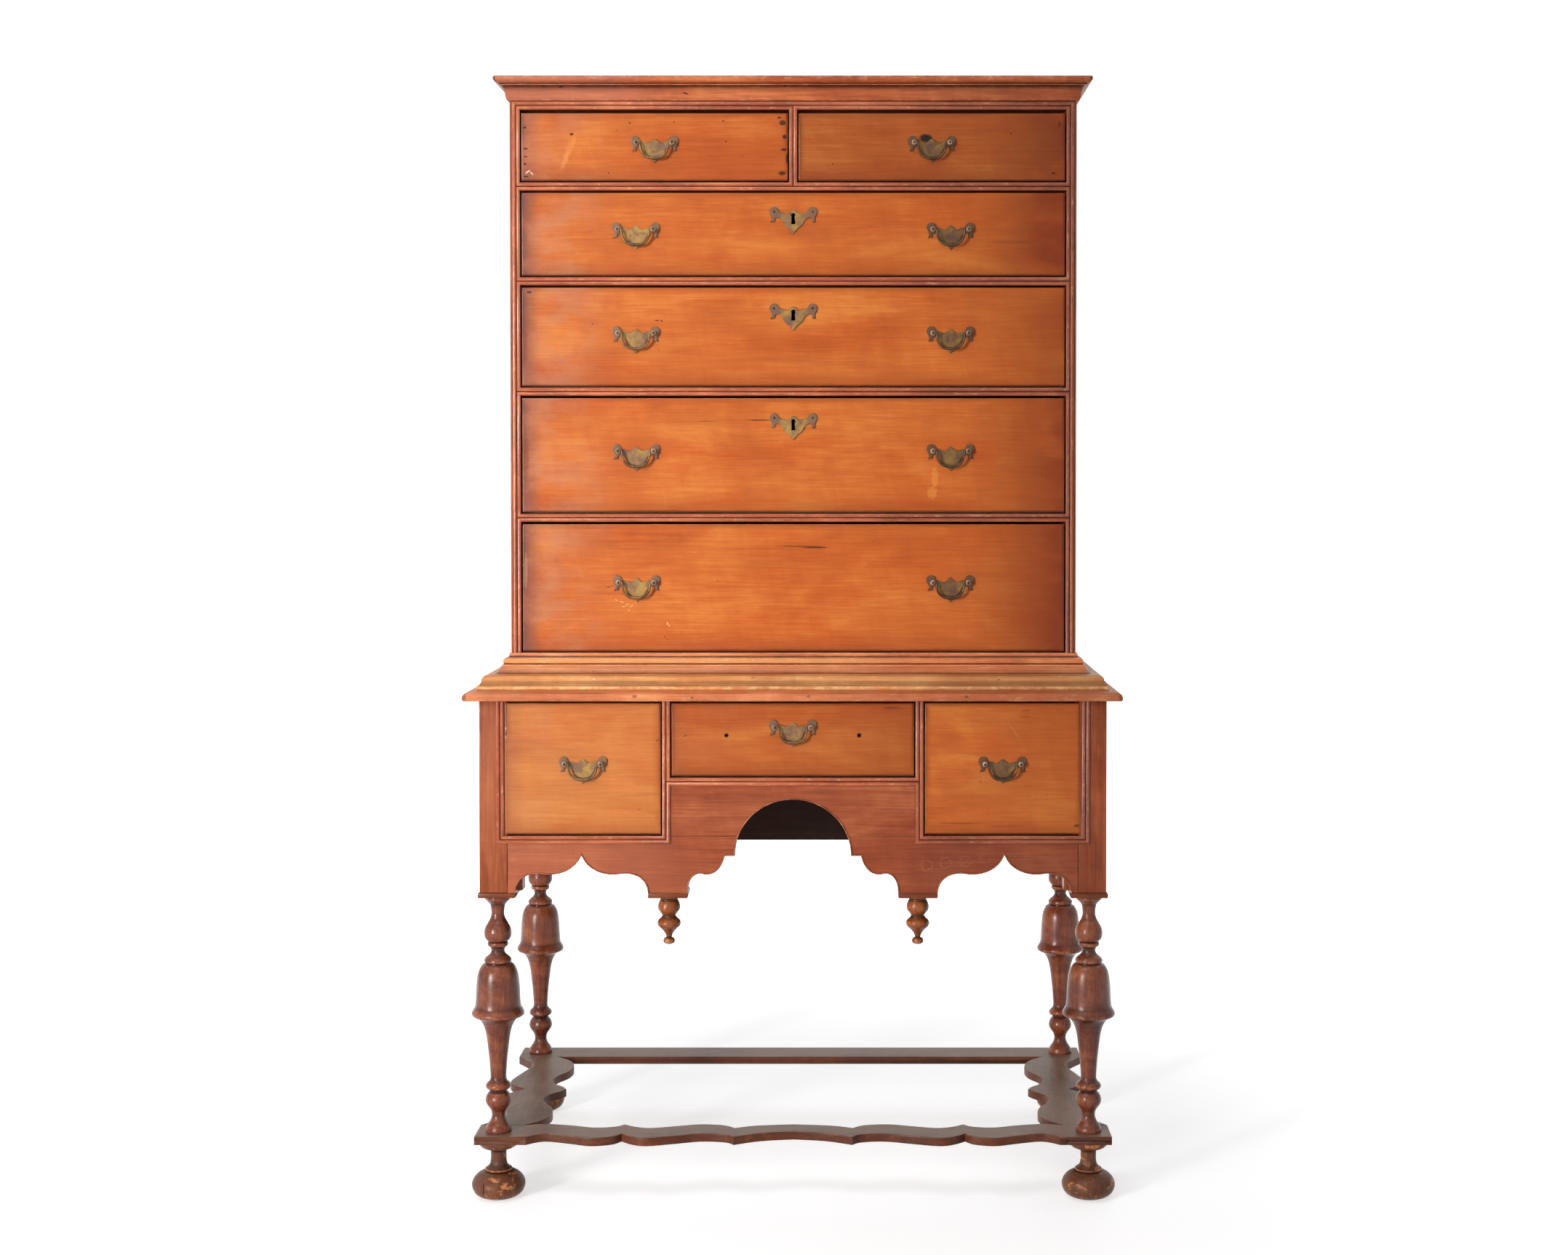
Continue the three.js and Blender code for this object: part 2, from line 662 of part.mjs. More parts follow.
function waistMoulding() {
  const tall = waistHeight - glueGap;
  const base = upperBottom;
  const section = [[glueGap, base], ...waistProfileShares.map(
    ([out, up]) => [out * waistProjection, base + up * tall]), [glueGap, base + tall]];
  const path = [[-upperHalfWidth, caseBack], [-upperHalfWidth, upperFace], [upperHalfWidth, upperFace],
    [upperHalfWidth, caseBack]];
  return mitredMoulding(path, section, false);
}

function rectangle(halfWidth, bottom, top, hole) {
  const outline = hole ? new THREE.Path() : new THREE.Shape();
  outline.moveTo(-halfWidth, bottom);
  outline.lineTo(halfWidth, bottom);
  outline.lineTo(halfWidth, top);
  outline.lineTo(-halfWidth, top);
  outline.closePath();
  return outline;
}

function openingRing(x0, x1, [z0, z1]) {
  return [[x0, z1], [x0, z0], [x1, z0], [x1, z1]];
}

function upperFrame() {
  const top = caseTop - glueGap;
  const base = upperBottom + glueGap;
  const open = upperOpeningHalf;
  const stile = railWidth / 2;
  const inner = open - glueGap;
  const back = caseBack - upperBackThickness - glueGap;
  const face = rectangle(upperHalfWidth, base, top, false);
  for (const [floor, ceiling] of [...longRows, shortRow]) {
    face.holes.push(rectangle(open, floor, ceiling, true));
  }
  const railFront = upperFace + faceStripThickness / 2;
  const joined = [frontBoard(face, upperFace, faceStripThickness)];
  // Rails with their runners, and the case's floor under the lowest drawer
  for (const [, ceiling] of longRows) {
    joined.push(block([-inner, inner], [railFront, upperFace + railDepth], [ceiling, ceiling + railWidth]));
    for (const side of [-1, 1]) {
      const across = side < 0 ? mirrorRange : (range) => range;
      joined.push(block(
        across([inner - runnerWidth, inner]), [railFront, back], [ceiling, ceiling + railWidth]));
    }
  }
  const topRunnerFloor = longRows[longRows.length - 1][1];
  joined.push(block(
    [-runnerWidth, runnerWidth], [railFront, back], [topRunnerFloor, topRunnerFloor + railWidth]));
  joined.push(block([-stile, stile], [upperFace, back], [shortRow[0] - overrun, shortRow[0] + runnerWidth]));
  joined.push(block([-stile, stile], [upperFace, upperFace + railDepth], [shortRow[0], shortRow[1]]));
  joined.push(block([-inner, inner], [railFront, upperFace + railDepth], [shortRow[1], top]));
  joined.push(block(
    [-inner, inner], [railFront, upperFace + bottomRailThickness], [base, firstOpening]));
  joined.push(block(
    [-inner, inner], [railFront, back], [firstOpening - upperFloorThickness, firstOpening]));
  // Beads
  const outer = open + beadWidth;
  const crown = shortRow[1] + beadWidth;
  joined.push(bead(
    [[outer, firstOpening], [outer, crown], [-outer, crown], [-outer, firstOpening]], upperFace));
  joined.push(bead(
    [[open, firstOpening], [open, longRows[0][1]], [-open, longRows[0][1]], [-open, firstOpening]],
    upperFace));
  for (const row of longRows.slice(1)) {
    joined.push(bead(openingRing(-open, open, row), upperFace, true));
  }
  joined.push(bead(openingRing(-open, -stile, shortRow), upperFace, true));
  joined.push(bead(openingRing(stile, open, shortRow), upperFace, true));
  return carve(joined);
}

function upperSide(left) {
  return block(
    [left, left + upperSideThickness],
    [upperFace + faceStripThickness + glueGap, caseBack - upperBackThickness - glueGap],
    [upperBottom + glueGap, caseTop - glueGap]);
}

function upperBack() {
  return block(
    [-upperHalfWidth, upperHalfWidth], [caseBack - upperBackThickness, caseBack],
    [upperBottom + glueGap, caseTop - glueGap]);
}

function cornice() {
  const levels = corniceProfileShares.map(
    ([out, up]) => [out * corniceProjection, caseTop + up * corniceHeight]);
  const slab = mouldedSlab(levels, upperHalfWidth, upperFace, caseBack);
  const hollow = block(
    [corniceWall - upperHalfWidth, upperHalfWidth - corniceWall],
    [upperFace + corniceWall, caseBack - corniceWall],
    [caseTop - overrun, height - topBoardThickness]);
  return carve([slab], [hollow]);
}

// Drawers: front, two sides, back and bottom

function drawer([x0, x1], [z0, z1], face, topGap, length) {
  const across = [x0 + drawerSideGap, x1 - drawerSideGap];
  const frontTop = z1 - topGap;
  const sideTop = frontTop - drawerSideDrop;
  const floor = z0 + slideGap;
  const front = block(across, [face, face + frontThickness], [z0 + drawerBottomGap, frontTop]);
  const body = block(across, [face + drawerBodySetback, face + length], [floor, sideTop]);
  const cavity = block(
    [across[0] + drawerSideThickness, across[1] - drawerSideThickness],
    [face + frontThickness, face + length - drawerBackThickness],
    [floor + drawerBottomThickness, frontTop + overrun]);
  return carve([front, body], [cavity]);
}

// Handles

function plateOutline() {
  const half = [];
  const scaled = ([x, z]) => [x * plateHalfWidth, z * plateHalfWidth + lobeRise];
  half.push(...crestShares.map(scaled));
  for (const degrees of lobeArcDegrees) {
    const turn = THREE.MathUtils.degToRad(degrees);
    half.push([
      lobeCentreShare * plateHalfWidth + lobeRadius * Math.cos(turn),
      lobeRise + lobeRadius * Math.sin(turn),
    ]);
  }
  half.push(...tailShares.map(scaled));
  const left = half.slice(1, -1).reverse().map(([x, z]) => [-x, z]);
  return new THREE.Shape([...half, ...left].map(([x, z]) => new THREE.Vector2(x, z)));
}

function platePosts() {
  const ball = ballShares.map(([out, along]) => [out * ballRadius, pivotStandoff + along * ballRadius]);
  const post = turned([
    [0, 0], [postNeckRadius, 0], [postNeckRadius, pivotStandoff - ballRadius * postNeckShare], ...ball,
  ], postSides);
  // The post is turned to point forwards.
  post.rotateX(Math.PI / 2);
  return [-1, 1].map((side) => post.clone().translate((side * postSpacing) / 2, 0, 0));
}

function plate() {
  const flat = frontBoard(plateOutline(), -plateThickness / 2, plateThickness);
  const posts = platePosts();
  const innerFace = postSpacing / 2 - ballRadius;
  const holes = [-1, 1].map((side) => {
    const hole = new THREE.CylinderGeometry(
      bailPinRadius + pinGap, bailPinRadius + pinGap, pinReach + pinGap + overrun, bailSides);
    hole.rotateZ(Math.PI / 2);
    hole.translate(side * (innerFace + (pinReach + pinGap - overrun) / 2), -pivotStandoff, 0);
    return hole;
  });
  return carve([flat, ...posts], holes);
}

// A rod whose middle line lies in the front plane; each entry is [x, z, radius].
function bentRod(line, sides) {
  const positions = [];
  for (let i = 0; i < line.length; i += 1) {
    const [x, z, radius] = line[i];
    const before = line[Math.max(i - 1, 0)];
    const after = line[Math.min(i + 1, line.length - 1)];
    const along = new THREE.Vector2(after[0] - before[0], after[1] - before[1]).normalize();
    for (let j = 0; j < sides; j += 1) {
      const turn = (2 * Math.PI * (j + 0.5)) / sides;
      const out = radius * Math.cos(turn);
      positions.push(x + along.y * out, radius * Math.sin(turn), z - along.x * out);
    }
  }
  const faces = [];
  for (let i = 0; i + 1 < line.length; i += 1) {
    for (let j = 0; j < sides; j += 1) {
      const a = i * sides + j;
      const b = i * sides + ((j + 1) % sides);
      faces.push(a, b, b + sides, a, b + sides, a + sides);
    }
  }
  const last = (line.length - 1) * sides;
  for (let j = 1; j + 1 < sides; j += 1) {
    faces.push(0, j + 1, j, last, last + j, last + j + 1);
  }
  const geometry = new THREE.BufferGeometry();
  geometry.setAttribute('position', new THREE.Float32BufferAttribute(positions, 3));
  geometry.setIndex(faces);
  return geometry;
}

function bail() {
  const innerFace = postSpacing / 2 - ballRadius;
  const armX = innerFace - pinGap - bailPinRadius;
  const half = bailShares.map(
    ([out, down, thick]) => [out * armX, -down * bailDrop, thick * bailThickness]);
  const pin = [[innerFace + pinReach, 0, bailPinRadius], [innerFace, 0, bailPinRadius]];
  const right = [...pin, ...half];
  const left = right.slice(0, -1).reverse().map(([x, z, radius]) => [-x, z, radius]);
  return bentRod([...right, ...left], bailSides);
}

function addHandle(name, x, face, [floor, ceiling], riseShare) {
  const z = floor + (ceiling - floor) * riseShare;
  const plateFace = face - glueGap - plateThickness / 2;
  const plateGeometry = plate();
  plateGeometry.translate(x, plateFace, z);
  addPiece(`plate_${name}`, plateGeometry, brass);
  const bailGeometry = bail();
  bailGeometry.translate(x, plateFace - pivotStandoff, z);
  addPiece(`bail_${name}`, bailGeometry, brass);
}

// Stretchers

// A wavy edge from one corner plate to the other. Its first half is given, and the second mirrors it.
function wavyEdge(start, stretches, place, mirror) {
  const half = [start];
  for (const stretch of stretches) {
    const line = new THREE.SplineCurve([half[half.length - 1], ...stretch.map(place)]);
    half.push(...line.getPoints(stretch.length).slice(1));
  }
  return [...half, ...half.slice(0, -1).reverse().map(mirror)];
}

function stretcherBoard(outline) {
  const board = new THREE.ExtrudeGeometry(new THREE.Shape(outline), {
    depth: stretcherThickness - glueGap,
    bevelEnabled: false,
  });
  board.translate(0, 0, footHeight);
  return board;
}

// The board under the front or the back pair of legs, halved over the side boards at its ends.
function crossStretcher(legY, wavy) {
  const endX = legX + stretcherEndX;
  const front = legY - stretcherEndY;
  const back = legY + stretcherEndY;
  const point = (x, y) => new THREE.Vector2(x, y);
  const mirror = ({ x, y }) => point(-x, y);
  const place = (side) => ([along, wave]) => point(side * along * legX, legY + wave * stretcherWave);
  const frontEdge = wavyEdge(point(frontPlateInner - legX, front), frontEdgeShares, place(-1), mirror);
  const rearEdge = wavyEdge(point(legX - stretcherLapInner, back), rearEdgeShares, place(1), mirror);
  const board = stretcherBoard([
    point(-endX, front), ...(wavy ? frontEdge : []), point(endX, front),
    point(endX, back), ...(wavy ? rearEdge : []), point(-endX, back),
  ]);
  const lapTop = stretcherTop - glueGap - upperLapThickness;
  const cuts = [];
  for (const side of [-1, 1]) {
    const across = side < 0 ? mirrorRange : (range) => range;
    cuts.push(block(
      across([legX - stretcherLapInner - lapGap, endX + overrun]),
      [front - overrun, legY + stretcherWave + overrun],
      [footHeight - overrun, lapTop]));
    cuts.push(bore(dowelHole, side * legX, legY, footHeight - overrun, stretcherTop + overrun));
  }
  return carve([board], cuts);
}

// The board under the legs of one side, halved under the front and back boards at its ends.
function sideStretcher(side) {
  const middle = (frontLegY + rearLegY) / 2;
  const front = frontLegY - stretcherEndY;
  const back = rearLegY + stretcherEndY;
  const outer = legX + stretcherEndX;
  const inner = legX - stretcherLapInner;
  const point = (x, y) => new THREE.Vector2(side * x, y);
  const mirror = ({ x, y }) => new THREE.Vector2(x, 2 * middle - y);
  const place = ([along, wave]) => point(legX - wave * stretcherWave, middle - (along * legSpacingY) / 2);
  const outerEdge = wavyEdge(point(outer, frontLegY + stretcherEndY), sideOuterShares, place, mirror);
  const innerEdge = wavyEdge(point(inner, frontLegY + stretcherEndY), sideInnerShares, place, mirror);
  const board = stretcherBoard([
    point(inner, front), point(outer, front), ...outerEdge, point(outer, back), point(inner, back),
    ...innerEdge.reverse(),
  ]);
  const lapBottom = stretcherTop - glueGap - upperLapThickness - lapGap;
  const across = side < 0 ? mirrorRange : (range) => range;
  const cuts = [];
  for (const [y, out] of [[frontLegY, -1], [rearLegY, 1]]) {
    const reach = [-stretcherEndY - overrun, stretcherEndY + lapGap];
    const [near, far] = out < 0 ? reach : mirrorRange(reach);
    cuts.push(block(
      across([inner - overrun, outer + overrun]), [y + near, y + far], [lapBottom, stretcherTop + overrun]));
    cuts.push(bore(dowelHole, side * legX, y, footHeight - overrun, stretcherTop + overrun));
  }
  return carve([board], cuts);
}

// Turned pieces

function leg() {
  const tall = legHeight - glueGap;
  const bottom = stretcherTop;
  const profile = profileOf(legProfileShares, bottom, tall, legRadius);
  const lowerEnd = footHeight - footDowelDepth;
  const upperEnd = caseBottom + legDowelLength;
  return turned([
    [0, lowerEnd], [footDowelRadius, lowerEnd], [footDowelRadius, bottom], ...profile,
    [legDowelRadius, bottom + tall], [legDowelRadius, upperEnd], [0, upperEnd],
  ], turnedSides);
}

function foot() {
  const tall = footHeight - glueGap;
  const holeFloor = footHeight - footDowelDepth - dowelEndGap;
  const profile = profileOf(footProfileShares, 0, tall, footRadius);
  return turned(
    [[0, 0], ...profile, [dowelHole, tall], [dowelHole, holeFloor], [0, holeFloor]], turnedSides);
}

function pendant() {
  const bottom = caseBottom - pendantHeight;
  const top = caseBottom;
  const profile = profileOf(pendantProfileShares, bottom, pendantHeight, pendantRadius);
  return turned([
    [0, bottom], ...profile, [pendantDowelRadius, top], [pendantDowelRadius, top + pendantDowelLength],
    [0, top + pendantDowelLength],
  ], pendantSides);
}

// Assembly

for (const [end, y] of [['front', frontLegY], ['rear', rearLegY]]) {
  for (const [side, x] of [['left', -legX], ['right', legX]]) {
    addPiece(`foot_${end}_${side}`, foot().translate(x, y, 0), legWood);
    addPiece(`leg_${end}_${side}`, leg().translate(x, y, 0), legWood);
  }
}
addPiece('stretcher_front', crossStretcher(frontLegY, true), stretcherWood);
addPiece('stretcher_rear', crossStretcher(rearLegY, false), stretcherWood);
addPiece('stretcher_left', sideStretcher(-1), stretcherWood);
addPiece('stretcher_right', sideStretcher(1), stretcherWood);
addPiece('pendant_left', pendant().translate(-pendantX, frontLegY, 0), pendantWood);
addPiece('pendant_right', pendant().translate(pendantX, frontLegY, 0), pendantWood);

addPiece('base_front', baseFront(), frameWood);
addPiece('base_back', baseBack(), backWood);
addPiece('base_side_left', baseSide(-lowerHalfWidth), frameWood);
addPiece('base_side_right', baseSide(lowerHalfWidth - lowerSideThickness), frameWood);
addPiece('base_top', baseTop(), waistWood);
addPiece('waist_moulding', waistMoulding(), waistWood);
addPiece('upper_frame', upperFrame(), frameWood);
addPiece('upper_side_left', upperSide(-upperHalfWidth), frameWood);
addPiece('upper_side_right', upperSide(upperHalfWidth - upperSideThickness), frameWood);
addPiece('upper_back', upperBack(), backWood);
addPiece('cornice', cornice(), frameWood);

const upperDrawerFace = upperFace - frontProud;
const lowerDrawerFace = lowerFace - frontProud;
const upperDrawerLength = caseBack - upperBackThickness - upperDrawerClearBehind - upperDrawerFace;
const lowerDrawerLength = caseBack - lowerBackThickness - lowerDrawerClearBehind - lowerDrawerFace;
const shortOpening = [railWidth / 2, upperOpeningHalf];
const sideOpening = [dividerOuter, postInner];

for (const [side, mirror] of [['left', true], ['right', false]]) {
  const across = mirror ? mirrorRange(shortOpening) : shortOpening;
  addPiece(
    `drawer_short_${side}`, drawer(across, shortRow, upperDrawerFace, topRowTopGap, upperDrawerLength),
    frontWood);
  addHandle(
    `short_${side}`, (across[0] + across[1]) / 2, upperDrawerFace, shortRow, shortPullShare);
}
longRows.forEach((row, index) => {
  const number = longRows.length - index;
  addPiece(
    `drawer_long_${number}`,
    drawer([-upperOpeningHalf, upperOpeningHalf], row, upperDrawerFace, drawerTopGap, upperDrawerLength),
    frontWood);
  for (const [side, x] of [['left', -longPullX], ['right', longPullX]]) {
    addHandle(`long_${number}_${side}`, x, upperDrawerFace, row, longPullShares[index]);
  }
});
const sideRow = [sideOpeningBottom, baseTopBottom];
for (const [side, mirror] of [['left', true], ['right', false]]) {
  const across = mirror ? mirrorRange(sideOpening) : sideOpening;
  addPiece(
    `drawer_lower_${side}`, drawer(across, sideRow, lowerDrawerFace, topRowTopGap, lowerDrawerLength),
    frontWood);
  addHandle(`lower_${side}`, (across[0] + across[1]) / 2, lowerDrawerFace, sideRow, lowerPullShare);
}
const centreRow = [centreOpeningBottom, baseTopBottom];
addPiece(
  'drawer_lower_centre',
  drawer([-dividerInner, dividerInner], centreRow, lowerDrawerFace, topRowTopGap, lowerDrawerLength),
  frontWood);
addHandle('lower_centre', 0, lowerDrawerFace, centreRow, centrePullShare);

export default chest;
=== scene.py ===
# A high chest of drawers on turned legs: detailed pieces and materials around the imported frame.
# Sizes are written in millimetres and meshes are made in metres, where the frame has them.
import json
import math
import random
from functools import partial

import bmesh
import bpy
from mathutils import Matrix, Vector
from mathutils.geometry import tessellate_polygon


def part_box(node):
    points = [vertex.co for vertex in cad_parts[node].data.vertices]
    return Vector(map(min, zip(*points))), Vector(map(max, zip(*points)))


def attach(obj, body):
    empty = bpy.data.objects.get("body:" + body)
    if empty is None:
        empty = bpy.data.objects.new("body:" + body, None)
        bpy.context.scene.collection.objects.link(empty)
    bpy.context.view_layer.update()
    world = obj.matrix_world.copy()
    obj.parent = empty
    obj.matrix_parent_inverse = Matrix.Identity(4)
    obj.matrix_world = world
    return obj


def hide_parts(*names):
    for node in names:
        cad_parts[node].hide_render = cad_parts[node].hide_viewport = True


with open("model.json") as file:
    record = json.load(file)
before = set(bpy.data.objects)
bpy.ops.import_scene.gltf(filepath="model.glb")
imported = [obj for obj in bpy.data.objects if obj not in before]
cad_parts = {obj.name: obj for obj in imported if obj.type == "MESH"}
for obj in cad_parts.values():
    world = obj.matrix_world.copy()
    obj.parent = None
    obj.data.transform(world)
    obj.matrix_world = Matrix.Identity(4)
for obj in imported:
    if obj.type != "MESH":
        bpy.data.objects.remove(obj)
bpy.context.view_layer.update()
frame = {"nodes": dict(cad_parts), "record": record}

MM = 0.001
SHARP_ANGLE = 38
scene = bpy.context.scene
scene.view_settings.view_transform = "Standard"

# Levels
FOOT_TOP = 86.5
STRETCHER_TOP = 99.3
LAP_LEVEL = 91.9
LAP_GAP = 0.3
CASE_BOTTOM = 460.2
PAD_TOP = 468.0
SEAM = 554.0
SIDE_FLOOR = 555.2
CENTRE_FLOOR = 643.0
BASE_CEILING = 759.8
BASE_TOP = (760.0, 775.1)
WAIST = (775.3, 827.3)
UPPER_FLOOR = 775.5
FIRST_OPENING = 828.0
CASE_TOP = 1664.4
CORNICE = (1664.6, 1700.0)

# Plan
LEG_X = 449.5
LEG_Y = (-225.95, 237.05)
PENDANT_X = 189.0
LOWER_FACE = -251.45
UPPER_FACE = -207.45
CASE_BACK = 262.55
LOWER_HALF = 473.0
UPPER_HALF = 430.0
POST_INNER = 434.9
STILE_INNER = 431.0
DIVIDER = (184.4, 197.4)
POST_DEPTH = 51.0
PAD_LIP = 2.5
PAD_WIDTH = 56.0
PENDANT_PAD = 59.6
OPEN_HALF = 414.1
RAIL = 13.0
BEAD = 6.5
BEAD_PROUD = 3.0
PROUD = 0.5
SIDE_GAP = 1.8
LOWER_BOARD = 20.0
LOWER_BACK = 15.0
UPPER_BACK = 12.0
GLUE = 0.2
BEARER = 20.0

# Rows of drawers, as floor and ceiling of the opening
LONG_ROWS = {4: (828.0, 1026.9), 3: (1039.9, 1218.5), 2: (1231.5, 1386.1), 1: (1399.1, 1529.5)}
SHORT_ROW = (1542.5, 1651.6)


# Meshes


class Shape:
    """Closed solids gathered into one piece. Each point has a tone: above 0 worn, below 0 darker, partly as
    soiling and partly as painted shade in hollows.
    """

    def __init__(self):
        self.points = []
        self.faces = []
        self.tones = []
        self.kinds = []

    def add(self, points, faces, tones, kinds=0):
        start = len(self.points)
        self.points += points
        self.faces += [[start + i for i in face] for face in faces]
        self.tones += tones
        self.kinds += kinds if isinstance(kinds, list) else [kinds] * len(faces)
        return self

    def pair(self, part):
        """Adds a part on either side of the middle."""
        for sign in (-1, 1):
            self.add(*mirror_x(part, sign))
        return self

    def make(self, name, body, slot, materials, replaces=()):
        data = bpy.data.meshes.new(name)
        data.from_pydata([Vector(p) * MM for p in self.points], [], self.faces)
        for material in materials if isinstance(materials, (list, tuple)) else [materials]:
            data.materials.append(material)
        for polygon, kind in zip(data.polygons, self.kinds):
            polygon.material_index = kind
            polygon.use_smooth = True
        tone = data.attributes.new("tone", "FLOAT", "POINT")
        tone.data.foreach_set("value", self.tones)
        edit = bmesh.new()
        edit.from_mesh(data)
        bmesh.ops.recalc_face_normals(edit, faces=edit.faces)
        edit.to_mesh(data)
        edit.free()
        data.set_sharp_from_angle(angle=math.radians(SHARP_ANGLE))
        piece = bpy.data.objects.new(name, data)
        scene.collection.objects.link(piece)
        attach(piece, body)
        if replaces:
            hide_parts(*replaces)
        return piece


def front(a, b, deep):
    return (a, deep, b)


def flat(a, b, deep):
    return (a, b, deep)


def side(a, b, deep):
    return (deep, a, b)


def mirrored(points, sign):
    return [(sign * x, y) for x, y in points]


def spline(points, steps):
    """A smooth line through the points, which it keeps."""
    line = []
    for i in range(len(points) - 1):
        before = points[max(i - 1, 0)]
        start, end = points[i], points[i + 1]
        after = points[min(i + 2, len(points) - 1)]
        for step in range(steps):
            t = step / steps
            line.append(tuple(
                0.5 * (2 * b + (c - a) * t + (2 * a - 5 * b + 4 * c - d) * t * t
                       + (3 * b - a - 3 * c + d) * t ** 3)
                for a, b, c, d in zip(before, start, end, after)))
    line.append(tuple(points[-1]))
    return line


def stretches(start, *lists, steps=3):
    """Smooth stretches that meet in sharp corners. Each starts where the one before it ends."""
    line = [start]
    for points in lists:
        line += spline([line[-1], *points], steps)[1:]
    return line


def walk(line, start, reach, step):
    """The point that lies a given distance along a line from one of its points."""
    here, left = Vector(line[start]), reach
    i = start
    while 0 <= i + step < len(line):
        ahead = Vector(line[i + step])
        length = (ahead - here).length
        if length >= left:
            return here + (ahead - here) * (left / length)
        here, left, i = ahead, left - length, i + step
    return here


def hollows(line, reach=2.2):
    """How hollow (below 0) or proud (above 0) a profile is at each point, seen from its right."""
    tones = []
    for i, here in enumerate(line):
        before, after = walk(line, i, reach, -1), walk(line, i, reach, 1)
        along = after - before
        if along.length < 0.3 * reach:
            tones.append(0.0)
            continue
        outwards = Vector((along.y, -along.x)).normalized()
        rise = (Vector(here) - (before + after) / 2).dot(outwards)
        tones.append(max(-1.0, min(1.0, 3.2 * rise / reach)))
    return tones


def inset(loop, distance):
    """A closed loop moved inwards, for a loop that runs anticlockwise."""
    moved = []
    for i, here in enumerate(loop):
        before, after = Vector(loop[i - 1]), Vector(loop[(i + 1) % len(loop)])
        a = (Vector(here) - before).normalized()
        b = (after - Vector(here)).normalized()
        na, nb = Vector((-a.y, a.x)), Vector((-b.y, b.x))
        mitre = (na + nb) / max(1 + na.dot(nb), 0.35)
        moved.append(tuple(Vector(here) + mitre * distance))
    return moved


def anticlockwise(loop):
    area = sum(a[0] * b[1] - b[0] * a[1] for a, b in zip(loop, loop[1:] + loop[:1]))
    return loop if area > 0 else loop[::-1]


def skin(count, size, start=0, closed=False):
    """The faces between rings of points that follow one another."""
    faces = []
    for i in range(count if closed else count - 1):
        a, b = start + i * size, start + (i + 1) % count * size
        faces += [[a + j, a + (j + 1) % size, b + (j + 1) % size, b + j] for j in range(size)]
    return faces


def end_faces(count, size):
    """The first and the last ring as faces."""
    return [list(range(start, start + size)) for start in (0, (count - 1) * size)]


def board(outline, near, far, ease, place, holes=()):
    """A board cut to an outline, with eased arrises on both faces."""
    loops = [anticlockwise(list(outline))] + [anticlockwise(list(hole))[::-1] for hole in holes]
    wide = 1.2 + 1.5 * ease
    rings = [(wide, near, 0.0), (ease, near, 0.2), (0.3 * ease, near + 0.3 * ease, 0.6),
             (0.0, near + ease, 0.2), (0.0, near + wide, 0.0), (0.0, far - wide, 0.0),
             (0.0, far - ease, 0.2), (0.3 * ease, far - 0.3 * ease, 0.6), (ease, far, 0.2),
             (wide, far, 0.0)]
    points, faces, tones, caps = [], [], [], {0: [], len(rings) - 1: []}
    for loop in loops:
        starts = []
        for index, (shift, deep, tone) in enumerate(rings):
            starts.append(len(points))
            moved = inset(loop, shift)
            points += [place(x, y, deep) for x, y in moved]
            tones += [tone] * len(moved)
            if index in caps:
                caps[index].append((starts[-1], moved))
        faces += skin(len(rings), len(loop), starts[0])
    for parts in caps.values():
        flat_loops = [[Vector((x, y, 0)) for x, y in moved] for _, moved in parts]
        lookup = [start + i for start, moved in parts for i in range(len(moved))]
        faces += [[lookup[i] for i in triangle] for triangle in tessellate_polygon(flat_loops)]
    return points, faces, tones


def rounded(x, y, radius):
    """A rectangle with rounded corners."""
    loop = []
    corners = [(x[1], y[1], 0), (x[0], y[1], 90), (x[0], y[0], 180), (x[1], y[0], 270)]
    for cx, cy, start in corners:
        mx = cx - radius if cx == x[1] else cx + radius
        my = cy - radius if cy == y[1] else cy + radius
        for degrees in (0, 45, 90):
            turn = math.radians(start + degrees)
            loop.append((mx + radius * math.cos(turn), my + radius * math.sin(turn)))
    return loop


def block(x, y, z, ease=0.8):
    """A plain board with eased arrises, by its ranges."""
    spans = {"x": x[1] - x[0], "y": y[1] - y[0], "z": z[1] - z[0]}
    ease = min(ease, 0.1 * min(spans.values()))
    thin = min(spans, key=spans.get)
    if thin == "y":
        return board(rounded(x, z, ease), y[0], y[1], ease, front)
    if thin == "z":
        return board(rounded(x, y, ease), z[0], z[1], ease, flat)
    return board(rounded(y, z, ease), x[0], x[1], ease, side)


def plain(x, y, z):
    """A plain box, for cutting."""
    points = [(a, b, c) for a in x for b in y for c in z]
    faces = [[0, 1, 3, 2], [4, 6, 7, 5], [0, 4, 5, 1], [2, 3, 7, 6], [0, 2, 6, 4], [1, 5, 7, 3]]
    return points, faces, [0.0] * 8


def mirror_x(part, sign):
    points, faces, tones = part
    return [(sign * x, y, z) for x, y, z in points], faces, tones


def lathe(profile, x, y, sides=48):
    """A turned solid from (height, radius) points that run from the top down."""
    tones = hollows([(radius, level) for level, radius in profile])
    points, spread = [], []
    for (level, radius), tone in zip(profile, tones):
        for i in range(sides):
            turn = 2 * math.pi * i / sides
            points.append((x + radius * math.cos(turn), y + radius * math.sin(turn), level))
        spread += [-tone] * sides
    return points, skin(len(profile), sides) + end_faces(len(profile), sides), spread


